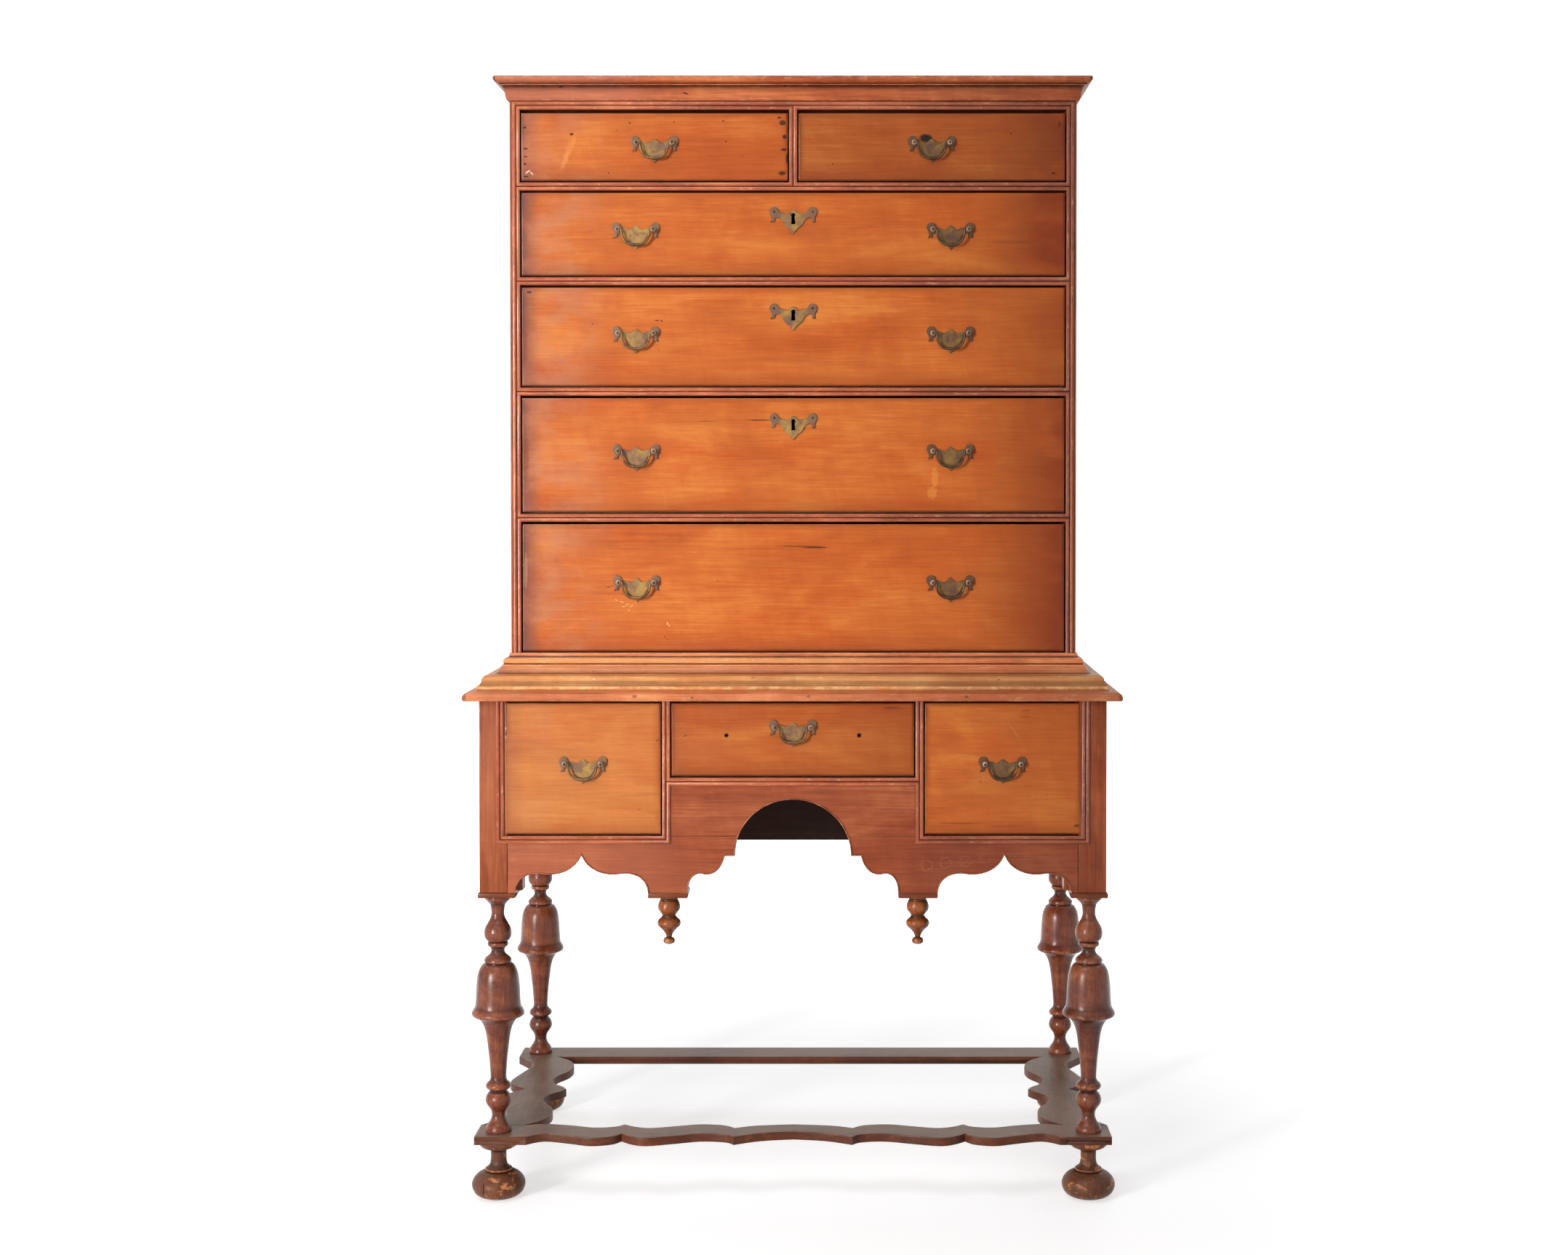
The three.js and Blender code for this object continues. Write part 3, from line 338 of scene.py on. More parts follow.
def sweep(path, section, tones, place, closed=False):
    """A moulding run with mitred corners. The section lies on the path's right-hand side."""
    count = len(path)
    normals = []
    for i in range(count if closed else count - 1):
        ax, ay = path[i]
        bx, by = path[(i + 1) % count]
        normals.append(Vector((by - ay, ax - bx)).normalized())
    points, spread = [], []
    for i in range(count):
        before = normals[i - 1 if closed else max(i - 1, 0)]
        after = normals[min(i, len(normals) - 1)]
        mitre = (before + after) / (1 + before.dot(after))
        points += [place(path[i][0] + mitre.x * out, path[i][1] + mitre.y * out, up)
                   for out, up in section]
        spread += tones
    size = len(section)
    faces = skin(count, size, 0, closed)
    kinds = [int(abs(normal.x) > abs(normal.y)) for normal in normals for _ in section]
    if not closed:
        faces += end_faces(count, size)
        kinds += [0, 0]
    return points, faces, spread, kinds


def tube(line, sides=12):
    """A rod along points (x, y, z, radius) that lie in a plane facing the front."""
    points = []
    for i, (x, y, z, radius) in enumerate(line):
        before, after = line[max(i - 1, 0)], line[min(i + 1, len(line) - 1)]
        along = Vector((after[0] - before[0], after[2] - before[2])).normalized()
        for j in range(sides):
            turn = 2 * math.pi * j / sides
            out = radius * math.cos(turn)
            points.append((x + along.y * out, y + radius * math.sin(turn), z - along.x * out))
    return points, skin(len(line), sides) + end_faces(len(line), sides), [0.0] * len(points)


def cut(piece, shape):
    """Takes the solids of a shape out of a piece."""
    tool = shape.make("cutter", "case", "brass", list(piece.data.materials))
    change = piece.modifiers.new("cut", "BOOLEAN")
    change.operation = "DIFFERENCE"
    change.solver = "EXACT"
    change.object = tool
    bpy.context.view_layer.update()
    graph = bpy.context.evaluated_depsgraph_get()
    data = bpy.data.meshes.new_from_object(piece.evaluated_get(graph))
    piece.modifiers.clear()
    piece.data = data
    bpy.data.objects.remove(tool)
    return piece


# Materials


def srgb(red, green, blue):
    def linear(share):
        share /= 255
        return share / 12.92 if share <= 0.04045 else ((share + 0.055) / 1.055) ** 2.4
    return (linear(red), linear(green), linear(blue), 1.0)


class Nodes:
    """The node tree of a material or a world, with short calls for the nodes that repeat."""

    def __init__(self, tree):
        self.tree = tree
        tree.nodes.clear()

    def fill(self, made, inputs):
        for key, value in inputs.items():
            socket = made.inputs[key]
            if isinstance(value, bpy.types.NodeSocket):
                self.tree.links.new(value, socket)
            else:
                socket.default_value = value

    def add(self, kind, inputs=None, **settings):
        made = self.tree.nodes.new("ShaderNode" + kind)
        for key, value in settings.items():
            setattr(made, key, value)
        self.fill(made, inputs or {})
        return made

    def math(self, operation, a, b=0.0, clamp=False):
        return self.add("Math", {0: a, 1: b}, operation=operation, use_clamp=clamp).outputs[0]

    def plus(self, a, b):
        return self.math("ADD", a, b)

    def times(self, a, b, clamp=False):
        return self.math("MULTIPLY", a, b, clamp)

    def most(self, a, b):
        return self.math("MAXIMUM", a, b)

    def total(self, parts, start=0.0):
        """The sum of parts, each times its weight."""
        for part, weight in parts:
            start = self.plus(self.times(part, weight), start)
        return start

    def mix(self, factor, a, b, blend="MIX"):
        made = self.add("Mix", data_type="RGBA", blend_type=blend)
        index = {socket.identifier: i for i, socket in enumerate(made.inputs)}
        self.fill(made, {index["Factor_Float"]: factor, index["A_Color"]: a, index["B_Color"]: b})
        return next(socket for socket in made.outputs if socket.identifier == "Result_Color")

    def lay(self, colour, tint, mask, power, blend="MIX"):
        """A tint laid over a colour where a mask is above 0."""
        return self.mix(self.times(mask, power), colour, tint, blend)

    def ramp(self, value, low, high, kind="SMOOTHSTEP"):
        """0 below low, 1 above high, and smooth or straight between."""
        made = self.add(
            "MapRange", {"Value": value, "From Min": low, "From Max": high}, interpolation_type=kind)
        return made.outputs["Result"]

    def mapped(self, vector, **inputs):
        return self.add("Mapping", {"Vector": vector, **inputs}).outputs[0]

    def noise(self, vector, stretch, detail=3.0, roughness=0.55, distortion=0.0):
        made = self.add("TexNoise", {
            "Vector": self.mapped(vector, Scale=stretch), "Scale": 1.0, "Detail": detail,
            "Roughness": roughness, "Distortion": distortion})
        return made.outputs["Fac"]

    def axes(self, vector):
        return self.add("SeparateXYZ", {0: vector}).outputs

    def length(self, vector):
        return self.add("VectorMath", {0: vector}, operation="LENGTH").outputs["Value"]

    def attribute(self, name):
        return self.add("Attribute", attribute_name=name).outputs["Fac"]

    def bump(self, height, strength, distance):
        return self.add("Bump", {"Height": height, "Strength": strength, "Distance": distance}).outputs[0]

    def seen(self):
        """1 for the rays that show the background: straight, mirrored or through glass."""
        rays = self.add("LightPath").outputs
        through = self.most(rays["Is Camera Ray"], rays["Is Transmission Ray"])
        return self.most(through, rays["Is Glossy Ray"])


def new_material(name):
    material = bpy.data.materials.new(name)
    material.use_nodes = True
    nodes = Nodes(material.node_tree)
    shader = nodes.add("BsdfPrincipled")
    output = nodes.add("OutputMaterial", {"Surface": shader.outputs[0]})
    return material, nodes, shader, output


GRAIN = {"x": (0, 1, 2), "y": (1, 0, 2), "z": (2, 1, 0)}
RUDDY = (0.93, 0.72, 0.58, 1)
# The tint of a front's painted reflection at its left end, then the colour of the dull edge there.
REFLECTION_TINT = srgb(184, 132, 104)
DULL = srgb(112, 66, 58)
SCRATCHES = 0.4
WOOD_SHINE = 0.18


def wood(name, colours, grain="x", seed=0, contrast=1.0, rough=0.38, coat=0.08, wear=0.6, dirt_and_shade=0.9,
         figure=0.25, specks=0.5, streaks=0.9, patches=0.0, dust_and_sheen=None, panel=None, marks=()):
    """Polished wood. Colours are dark, middle, light, worn, and a dark one for streaks and specks that also
    lays painted shade in hollows and along a front's bottom arris. A panel is a front's x and z range, then
    how strong the painted reflection and the dull edge at its left end are, and how strong the painted shade
    at its right end.
    Dust is the colour laid on upward faces, partly settled on them and partly a painted sheen."""
    material, nodes, shader, _ = new_material(name)
    dark, middle, light, worn, grime_and_shade = [srgb(*colour) for colour in colours]
    place = nodes.add("TexCoord").outputs["Object"]
    shift = random.Random(seed)
    moved = nodes.mapped(place, Location=[shift.uniform(-9, 9) for _ in "xyz"])
    split = nodes.axes(moved)
    lined = nodes.add("CombineXYZ", {i: split[axis] for i, axis in enumerate(GRAIN[grain])}).outputs[0]

    cloud = nodes.noise(lined, (6, 11, 11), 3.0, 0.55, 1.0)
    mottle = nodes.noise(lined, (26, 44, 44), 4.0, 0.6, 0.4)
    streak = nodes.noise(lined, (7, 150, 150), 5.0, 0.66, 0.3)
    line = nodes.noise(lined, (16, 620, 620), 3.0, 0.65, 0.2)
    fibre = nodes.noise(lined, (60, 1700, 1700), 1.0, 0.5)
    curl = nodes.noise(nodes.mapped(lined, Rotation=(0.1, 0.2, 0.1)), (55, 9, 9), 3.0, 0.5, 0.8)
    weights = ((cloud, 1.1), (mottle, 0.3), (streak, streaks), (line, 0.9), (curl, figure))
    value = nodes.total([(nodes.plus(part, -0.5), weight * contrast) for part, weight in weights], -0.02)
    colour = nodes.mix(nodes.ramp(value, 0.0, 0.6, "LINEAR"), middle, light)
    colour = nodes.mix(nodes.ramp(value, 0.0, -0.9, "LINEAR"), colour, dark)
    drift = nodes.noise(lined, (4, 15, 15), 4.0, 0.6, 0.3)
    colour = nodes.lay(colour, RUDDY, nodes.ramp(drift, 0.46, 0.66), 0.62, "MULTIPLY")
    colour = nodes.lay(colour, light, nodes.ramp(drift, 0.46, 0.28), 0.35)

    deep = nodes.ramp(nodes.noise(lined, (7, 300, 300), 3.0, 0.7, 0.2), 0.66, 0.8)
    colour = nodes.lay(colour, grime_and_shade, deep, 0.5 * streaks)
    bits = nodes.add("TexVoronoi", {"Vector": moved, "Scale": 42.0}).outputs
    size = nodes.times(nodes.add("SeparateColor", {0: bits["Color"]}).outputs[0], 0.075)
    speck = nodes.times(nodes.ramp(nodes.math("SUBTRACT", bits["Distance"], size), 0.0, -0.025), specks)
    colour = nodes.mix(speck, colour, grime_and_shade)
    patchy = nodes.ramp(cloud, 0.42, 0.7)
    for angle in (0.6, -0.45):
        turned = nodes.mapped(moved, Rotation=(angle, angle, angle))
        hair = nodes.ramp(nodes.noise(turned, (18, 950, 950), 1.0, 0.5), 0.74, 0.8)
        colour = nodes.lay(colour, worn, nodes.times(hair, patchy), SCRATCHES)

    if patches:
        bare = nodes.ramp(nodes.noise(moved, (34, 34, 48), 5.0, 0.7, 0.6), 0.54, 0.6)
        colour = nodes.lay(colour, worn, bare, patches)
    # Upward faces take a grey-tan colour, partly dust and partly a painted sheen.
    if dust_and_sheen:
        upward = nodes.axes(nodes.add("NewGeometry").outputs["True Normal"])[2]
        upward_dust_and_sheen = nodes.times(nodes.ramp(upward, 0.5, 0.95), nodes.ramp(value, -0.9, 0.3))
        colour = nodes.lay(colour, srgb(*dust_and_sheen), upward_dust_and_sheen, 0.85)
    if panel:
        colour = age_panel(nodes, colour, dark, place, moved, cloud, *panel)
    for spot in marks:
        colour = add_mark(nodes, place, colour, **spot)

    tone = nodes.attribute("tone")
    chips = nodes.noise(lined, (60, 110, 110), 5.0, 0.7, 0.5)
    rubbed = nodes.ramp(nodes.plus(nodes.times(tone, 0.3), chips), 0.66, 0.98)
    colour = nodes.lay(colour, worn, rubbed, wear)
    # Hollows darken, partly as soiling and partly as painted shade in coves, quirks and creases.
    hollow = nodes.times(tone, -1.5, clamp=True)
    colour = nodes.lay(colour, grime_and_shade, nodes.times(hollow, nodes.plus(chips, 0.45), clamp=True), dirt_and_shade)
    # Painted shade: a dark line along the bottom arris of a front.
    if panel:
        level, foot = nodes.axes(place)[2], panel[2]
        colour = nodes.lay(colour, grime_and_shade, nodes.ramp(level, (foot + 0.9) * MM, (foot + 0.4) * MM), 0.95)

    planed = nodes.noise(lined, (8, 18, 18), 2.0, 0.5)
    height = nodes.total(((fibre, 0.05), (line, 0.12), (planed, 0.8), (speck, -0.25), (chips, 0.12)))
    nodes.fill(shader, {
        "Base Color": colour, "Roughness": nodes.total([(nodes.plus(streak, chips), 0.2)], rough - 0.2),
        "Coat Weight": coat, "Coat Roughness": 0.25, "Specular IOR Level": WOOD_SHINE,
        "Normal": nodes.bump(height, 0.6, 0.0009)})
    return material


def age_panel(nodes, colour, dark, place, moved, cloud, x0, x1, z0, z1, pale, shade_power):
    """A front's dark rim, the painted shade at its right end, and the painted reflection and the dull edge at
    its left end.
    """
    where = nodes.axes(place)
    along, level = where[0], where[2]

    def fade(axis, start, stop):
        return nodes.ramp(axis, start * MM, stop * MM)

    rim = fade(level, z0 + 34, z0 - 4)
    for axis, start, stop in ((level, z1 - 10, z1), (along, x0 + 12, x0), (along, x1 - 16, x1)):
        rim = nodes.most(rim, fade(axis, start, stop))
    rim = nodes.times(nodes.times(rim, 0.6), nodes.ramp(cloud, 0.2, 0.6))
    # Painted shade towards the right end, where less light falls.
    painted_shade = nodes.times(fade(along, x1 - 200, x1 + 50), nodes.ramp(cloud, 0.1, 0.6))
    colour = nodes.mix(nodes.most(rim, nodes.times(painted_shade, shade_power)), colour, dark)
    soft = nodes.noise(moved, (14, 20, 20), 5.0, 0.62, 0.1)
    # Painted reflection of the lamp at the left end.
    painted_reflection = nodes.times(nodes.ramp(soft, 0.36, 0.66), fade(along, x0 + 160, x0 + 40))
    colour = nodes.lay(colour, REFLECTION_TINT, painted_reflection, 0.4 * pale)
    dull = nodes.times(nodes.ramp(soft, 0.85, 0.4), fade(along, x0 + 34, x0))
    return nodes.lay(colour, DULL, dull, 0.9 * pale)


def add_mark(nodes, place, colour, at, size, tint, power, slope, ragged, ring):
    """A stain, hole or scar, or a wash that paints light or shade: a soft ellipsoid at a point of the board,
    in millimetres and degrees.
    """
    moved = nodes.mapped(place, Location=[-a * MM for a in at])
    turned = nodes.mapped(moved, Rotation=(0, math.radians(slope), 0))
    scale = [1 / (half * MM) for half in size]
    reach = nodes.length(nodes.add("VectorMath", {0: turned, 1: scale}, operation="MULTIPLY").outputs[0])
    reach = nodes.total([(nodes.noise(place, (260, 260, 260), 2.0, 0.6), ragged)], reach)
    if ring:
        reach = nodes.times(nodes.math("ABSOLUTE", nodes.plus(reach, -1.0)), ring)
    edge = nodes.ramp(reach, 1.0 + ragged / 2, 0.5 + ragged / 2)
    return nodes.lay(colour, srgb(*tint), edge, power)


def mark(x, z, wide, tall, tint=(38, 18, 12), power=0.9, slope=0, ragged=0.5, ring=0.0, face=0.0, deep=9):
    """A mark on a front face, by its middle and its half sizes."""
    return {"at": (x, face, z), "size": (wide, deep, tall), "tint": tint, "power": power, "slope": slope,
            "ragged": ragged, "ring": ring}


def metal(name, base, tarnish, bright, rough=0.42, metallic=0.4):
    """Aged metal. Its colour goes over to the tarnish on the lobes of a plate."""
    material, nodes, shader, _ = new_material(name)
    base, tarnish, bright = srgb(*base), srgb(*tarnish), srgb(*bright)
    place = nodes.add("TexCoord").outputs["Object"]
    cloud = nodes.noise(place, (55, 55, 55), 4.0, 0.65, 0.6)
    fine = nodes.noise(place, (700, 700, 700), 2.0, 0.6)
    colour = nodes.mix(nodes.ramp(cloud, 0.35, 0.68), tarnish, base)
    colour = nodes.mix(nodes.ramp(fine, 0.62, 0.8), colour, tarnish)
    aside = nodes.math("ABSOLUTE", nodes.attribute("aside"))
    colour = nodes.lay(colour, tarnish, nodes.ramp(aside, 0.016, 0.024), 0.8)
    colour = nodes.mix(nodes.ramp(nodes.plus(nodes.attribute("tone"), cloud), 0.9, 1.5), colour, bright)
    nodes.fill(shader, {
        "Base Color": colour, "Metallic": metallic, "Specular IOR Level": 0.3,
        "Roughness": nodes.total([(nodes.plus(cloud, fine), 0.2)], rough - 0.2),
        "Normal": nodes.bump(nodes.total(((cloud, 0.8), (fine, 0.2))), 0.4, 0.0004)})
    return material


# Colours of the woods: dark, middle, light, worn, and a dark for streaks and specks that also lays painted
# shade

FRONT = ((130, 52, 18), (192, 98, 39), (218, 136, 62), (234, 184, 130), (56, 20, 10))
LOWER_FRONT = ((150, 74, 32), (196, 117, 58), (216, 146, 80), (240, 196, 150), (56, 22, 12))
FRAME = ((86, 34, 18), (151, 74, 42), (186, 107, 65), (216, 158, 118), (26, 10, 8))
BEADING = ((78, 32, 18), (156, 78, 46), (194, 112, 70), (236, 182, 138), (22, 9, 7))
TURNED = ((60, 26, 18), (116, 58, 38), (158, 90, 56), (196, 124, 82), (24, 10, 8))
GOLDEN = ((156, 88, 48), (208, 144, 86), (238, 188, 124), (246, 214, 160), (60, 26, 12))
REDTOP = ((136, 66, 36), (198, 114, 68), (228, 156, 104), (238, 194, 150), (40, 16, 10))
STRETCH = ((52, 26, 18), (98, 54, 36), (134, 80, 54), (204, 128, 76), (24, 11, 8))
HONEY = ((80, 36, 14), (152, 80, 34), (200, 124, 62), (228, 174, 116), (34, 15, 8))
# The back boards are far darker than the inside wood: painted shade for the dark inside of the case.
BACK = ((46, 32, 29), (66, 48, 42), (84, 62, 52), (108, 84, 68), (22, 14, 12))
INSIDE = ((116, 78, 46), (156, 112, 72), (180, 138, 94), (198, 158, 116), (58, 36, 22))
RAW_TOP = ((84, 48, 30), (116, 72, 48), (138, 92, 62), (168, 122, 86), (40, 22, 14))
FOOT = ((50, 28, 20), (102, 64, 46), (138, 92, 64), (212, 136, 82), (20, 10, 8))
DUST_AND_SHEEN = (150, 122, 101)


def shade(colours, factor, red=1.0):
    return [(r * factor * red, g * factor, b * factor) for r, g, b in colours]


# Marks: holes, scars and stains, and washes, which are wide and soft and mostly paint light and shade

wash = partial(mark, ragged=0.1)
leg_scratch = partial(mark, ragged=0.8, face=-257)
nose_mark = partial(mark, ragged=1.0, face=LOWER_FACE - 26)
HOLE = (34, 16, 12)
RING = (196, 128, 98)

apron_marks = [
    # Painted light on the left of the apron and painted shade on its right.
    wash(-340, 505, 230, 110, (206, 128, 96), 0.22, face=LOWER_FACE),
    wash(360, 505, 260, 110, (104, 44, 30), 0.42, face=LOWER_FACE),
    mark(-430.4, 512, 0.8, 48, (48, 20, 14), 0.8, ragged=0.3, face=LOWER_FACE),
    mark(430.4, 512, 0.8, 48, (40, 16, 12), 0.8, ragged=0.3, face=LOWER_FACE),
    *(mark(x, z, 10.6, 10.6, RING, power, ring=14, face=LOWER_FACE)
      for x, z, power in ((202, 510, 0.24), (230, 514, 0.2), (260, 516, 0.16), (290, 521, 0.12))),
]
# Painted shade over the right-hand beads and rails.
bead_right_shade = [wash(470, 1100, 420, 2400, (84, 36, 22), 0.36, face=UPPER_FACE, deep=300)]
leg_marks = [
    leg_scratch(-457, 338, 5, 0.9, power=0.8, slope=35),
    leg_scratch(-451, 333, 6, 0.9, power=0.8, slope=-30),
    leg_scratch(-446, 327, 4, 0.8, power=0.7, slope=50),
]
crack = mark(-467, 21, 1.2, 15, (16, 8, 6), 1.0, face=-262)
# Painted shade on the right of the waist moulding.
waist_marks = [wash(430, 800, 330, 90, (142, 62, 30), 0.38, face=UPPER_FACE - 25, deep=90)]
waist_marks += [mark(x, z, wide, tall, tint, power, slope, ragged, face=UPPER_FACE - out, deep=12)
                for x, z, wide, tall, tint, power, slope, ragged, out in (
                    (-300, 791, 3, 0.8, (250, 226, 180), 0.8, 0, 1.0, 38),
                    (-226, 802, 6, 0.7, (250, 222, 170), 0.7, 4, 1.2, 16),
                    (-60, 793, 4, 0.8, (96, 44, 20), 0.8, 0, 1.0, 37),
                    (138, 804, 9, 0.8, (250, 218, 164), 0.6, 0, 1.2, 15),
                    (310, 790, 3, 1.2, (70, 30, 16), 0.8, 0, 1.0, 39))]
redtop_marks = [
    wash(-250, 816, 560, 7.5, (214, 150, 88), 0.6, face=UPPER_FACE - 8, deep=90),
    wash(-250, 804, 460, 6, (206, 138, 84), 0.3, face=UPPER_FACE - 14, deep=90),
    mark(-495, 766, 9, 12, (92, 42, 28), 0.65, ragged=0.6, face=LOWER_FACE - 22, deep=60),
    mark(495, 766, 9, 12, (70, 32, 22), 0.65, ragged=0.6, face=LOWER_FACE - 22, deep=60),
    # Painted shade: a band along the underside of the base top's nose, and a wash over its right-hand part.
    wash(0, 756, 1600, 9, (122, 56, 34), 0.15, face=LOWER_FACE - 26, deep=900),
    wash(430, 768, 330, 60, (132, 62, 34), 0.4, face=LOWER_FACE - 26, deep=90),
    nose_mark(-236, 768, 5, 3, (96, 42, 24), 0.7),
    nose_mark(-150, 766, 3, 2, (90, 40, 22), 0.7),
    nose_mark(24, 768, 4, 2, (90, 40, 22), 0.6),
    nose_mark(260, 767, 4, 2.4, (70, 30, 18), 0.7),
]
cornice_marks = [
    # Painted light on the left of the cornice and painted shade on its right.
    wash(-400, 1676, 240, 60, (214, 146, 118), 0.3, face=UPPER_FACE - 6, deep=60),
    wash(400, 1676, 260, 60, (100, 44, 26), 0.3, face=UPPER_FACE - 6, deep=60),
    mark(0, 1701, 1600, 3.4, (64, 28, 18), 0.75, ragged=0.2, face=UPPER_FACE - 20, deep=900),
    mark(-452, 1695, 5, 7, (60, 28, 20), 0.7, ragged=0.6, face=UPPER_FACE - 20, deep=30),
    mark(452, 1695, 5, 7, (50, 22, 16), 0.7, ragged=0.6, face=UPPER_FACE - 20, deep=30),
    mark(-351, 1685, 4.5, 1.6, HOLE, 1.0, slope=8, ragged=0.8, face=UPPER_FACE - 10),
    mark(-322, 1685, 1.6, 1.2, HOLE, 1.0, face=UPPER_FACE - 10),
    mark(-163, 1676, 6, 1.6, (44, 20, 14), 0.9, slope=-20, ragged=0.8, face=UPPER_FACE - 6),
    mark(-12, 1686, 2.2, 1.6, HOLE, 0.9, face=UPPER_FACE - 10),
]

frame_x = wood("frame_along", FRAME, "x", 11, contrast=1.2)
frame_z = wood("frame_upright", shade(FRAME, 0.95), "z", 12, contrast=1.3, specks=0.8)
apron_wood = wood("apron_wood", FRAME, "x", 13, contrast=1.2, marks=apron_marks)
pad_wood = wood("pad_wood", shade(FRAME, 0.76), "x", 10, contrast=1.3, wear=0.7)
side_wood = wood("side_wood", FRAME, "z", 14, contrast=1.1)
bead_wood = partial(wood, contrast=1.3, rough=0.3, wear=0.45, dirt_and_shade=1.0, specks=0.9, marks=bead_right_shade)
rail_x = bead_wood("rail_along", shade(BEADING, 1.1), "x", 15, coat=0.45)
rail_z = bead_wood("rail_upright", shade(BEADING, 1.06), "z", 16, coat=0.6)
turned_wood = wood(
    "turned_wood", shade(TURNED, 1.03), "z", 17, contrast=1.4, rough=0.28, coat=0.3, wear=0.9, figure=0.9,
    patches=0.12, marks=leg_marks)
foot_wood = wood(
    "foot_wood", shade(FOOT, 1.1), "z", 31, contrast=1.4, rough=0.42, wear=0.8, patches=0.75, marks=[crack])
pendant_wood = wood("pendant_wood", HONEY, "z", 18, contrast=1.5, rough=0.32, coat=0.25)
golden_x = wood("golden_along", GOLDEN, "x", 19, contrast=1.3, wear=0.5, specks=0.8, marks=waist_marks)
golden_y = wood("golden_across", GOLDEN, "y", 20, contrast=1.3, wear=0.5)
redtop_x = wood(
    "redtop_along", shade(REDTOP, 1.03), "x", 21, contrast=1.3, coat=0.3, wear=0.3, specks=0.8,
    marks=redtop_marks)
redtop_y = wood("redtop_across", REDTOP, "y", 30, contrast=1.3, wear=0.5)
stretch_x = wood("stretcher_along", STRETCH, "x", 22, contrast=1.3, rough=0.4, wear=0.95, dust_and_sheen=DUST_AND_SHEEN)
stretch_y = wood("stretcher_across", STRETCH, "y", 23, contrast=1.3, rough=0.4, wear=0.95, dust_and_sheen=DUST_AND_SHEEN)
back_wood = wood("back_wood", BACK, "x", 24, rough=0.75, coat=0.0)
inside_x = wood("inside_along", INSIDE, "x", 25, rough=0.7, coat=0.0)
inside_y = wood("inside_across", INSIDE, "y", 26, rough=0.7, coat=0.0)
top_wood = wood("top_board_wood", RAW_TOP, "x", 27, rough=0.6, coat=0.0)
CORNICE_TONES = shade(FRAME, 1.24, 0.97)
cornice_x = wood(
    "cornice_along", CORNICE_TONES, "x", 28, contrast=1.3, wear=0.35, specks=0.9, marks=cornice_marks)
cornice_y = wood("cornice_across", CORNICE_TONES, "y", 29, contrast=1.3)
# The right-hand brasses are darker copies, painted shade where less light falls.
plate_brass = {
    "left": metal("plate_brass_left", (160, 124, 62), (112, 80, 64), (230, 204, 154)),
    "right": metal("plate_brass_right_shaded", (130, 98, 46), (90, 62, 46), (200, 168, 110)),
}
bail_brass = {
    "left": metal("bail_brass_left", (132, 102, 62), (84, 62, 44), (240, 220, 178), 0.3, 0.5),
    "right": metal("bail_brass_right_shaded", (92, 70, 46), (56, 42, 30), (206, 180, 130), 0.3, 0.5),
}
post_brass = metal("post_brass", (98, 74, 56), (50, 38, 32), (206, 182, 150), 0.3, 0.55)
iron = metal("old_iron", (48, 40, 36), (28, 22, 20), (90, 80, 72), 0.6)

# Turned pieces: (height, radius) from the top down

LEG_PROFILE = stretches(
    (460.0, 19.0),
    [(455.0, 19.3)],
    [(451.0, 15.5), (446.6, 11.6), (437.7, 10.0), (431.0, 10.0), (424.5, 11.8), (420.0, 14.4),
     (415.6, 16.8), (411.0, 19.3), (404.6, 20.7), (398.0, 20.2), (393.6, 18.2), (389.8, 14.2)],
    [(388.2, 15.3), (385.8, 15.7), (383.4, 14.8)],
    [(382.2, 12.6), (380.0, 11.0), (376.0, 10.0), (371.5, 11.8), (368.5, 15.0), (366.2, 17.8)],
    [(363.6, 20.0), (360.4, 20.7), (357.4, 19.2)],
    [(356.6, 19.3)],
    [(355.6, 22.0), (353.6, 24.6), (349.4, 27.2), (345.0, 29.2), (338.0, 31.0), (327.0, 32.2),
     (316.0, 33.0), (303.0, 33.5), (294.0, 34.4), (289.7, 35.6), (285.3, 38.2), (282.0, 39.7)],
    [(280.0, 39.8), (278.0, 38.9), (276.5, 36.8)],
    [(274.8, 32.5), (272.5, 29.0), (270.0, 26.6), (265.5, 23.8), (261.0, 21.6), (254.0, 19.4),
     (245.6, 17.7), (236.8, 16.5), (221.0, 14.6), (206.0, 13.1), (186.0, 11.8), (180.0, 12.2),
     (176.0, 14.4)],
    [(173.0, 17.8), (169.3, 19.1), (166.2, 17.8), (164.2, 15.0)],
    [(162.6, 13.3), (161.0, 13.2)],
    [(158.2, 15.8), (154.6, 18.0), (148.5, 19.4), (142.4, 18.0), (137.0, 14.4), (132.0, 11.2),
     (126.0, 9.9), (121.0, 10.5), (115.0, 13.2), (110.0, 16.9), (105.0, 19.1), (101.0, 19.6),
     (99.5, 19.2)],
)
FOOT_PROFILE = stretches(
    (86.3, 29.6),
    [(84.2, 29.8)],
    [(81.0, 29.0), (77.0, 25.6), (74.6, 20.0), (73.4, 15.2)],
    [(71.6, 12.6), (68.0, 11.8), (60.0, 11.7), (54.0, 12.2), (48.5, 14.0), (44.6, 18.0)],
    [(43.2, 20.3), (41.4, 20.6), (40.0, 19.8)],
    [(38.6, 24.4), (35.4, 30.6), (31.0, 35.6), (25.4, 39.2), (20.0, 40.4), (14.0, 39.5), (8.0, 36.5),
     (3.4, 31.0), (0.8, 25.0)],
    [(0.0, 22.0)],
)
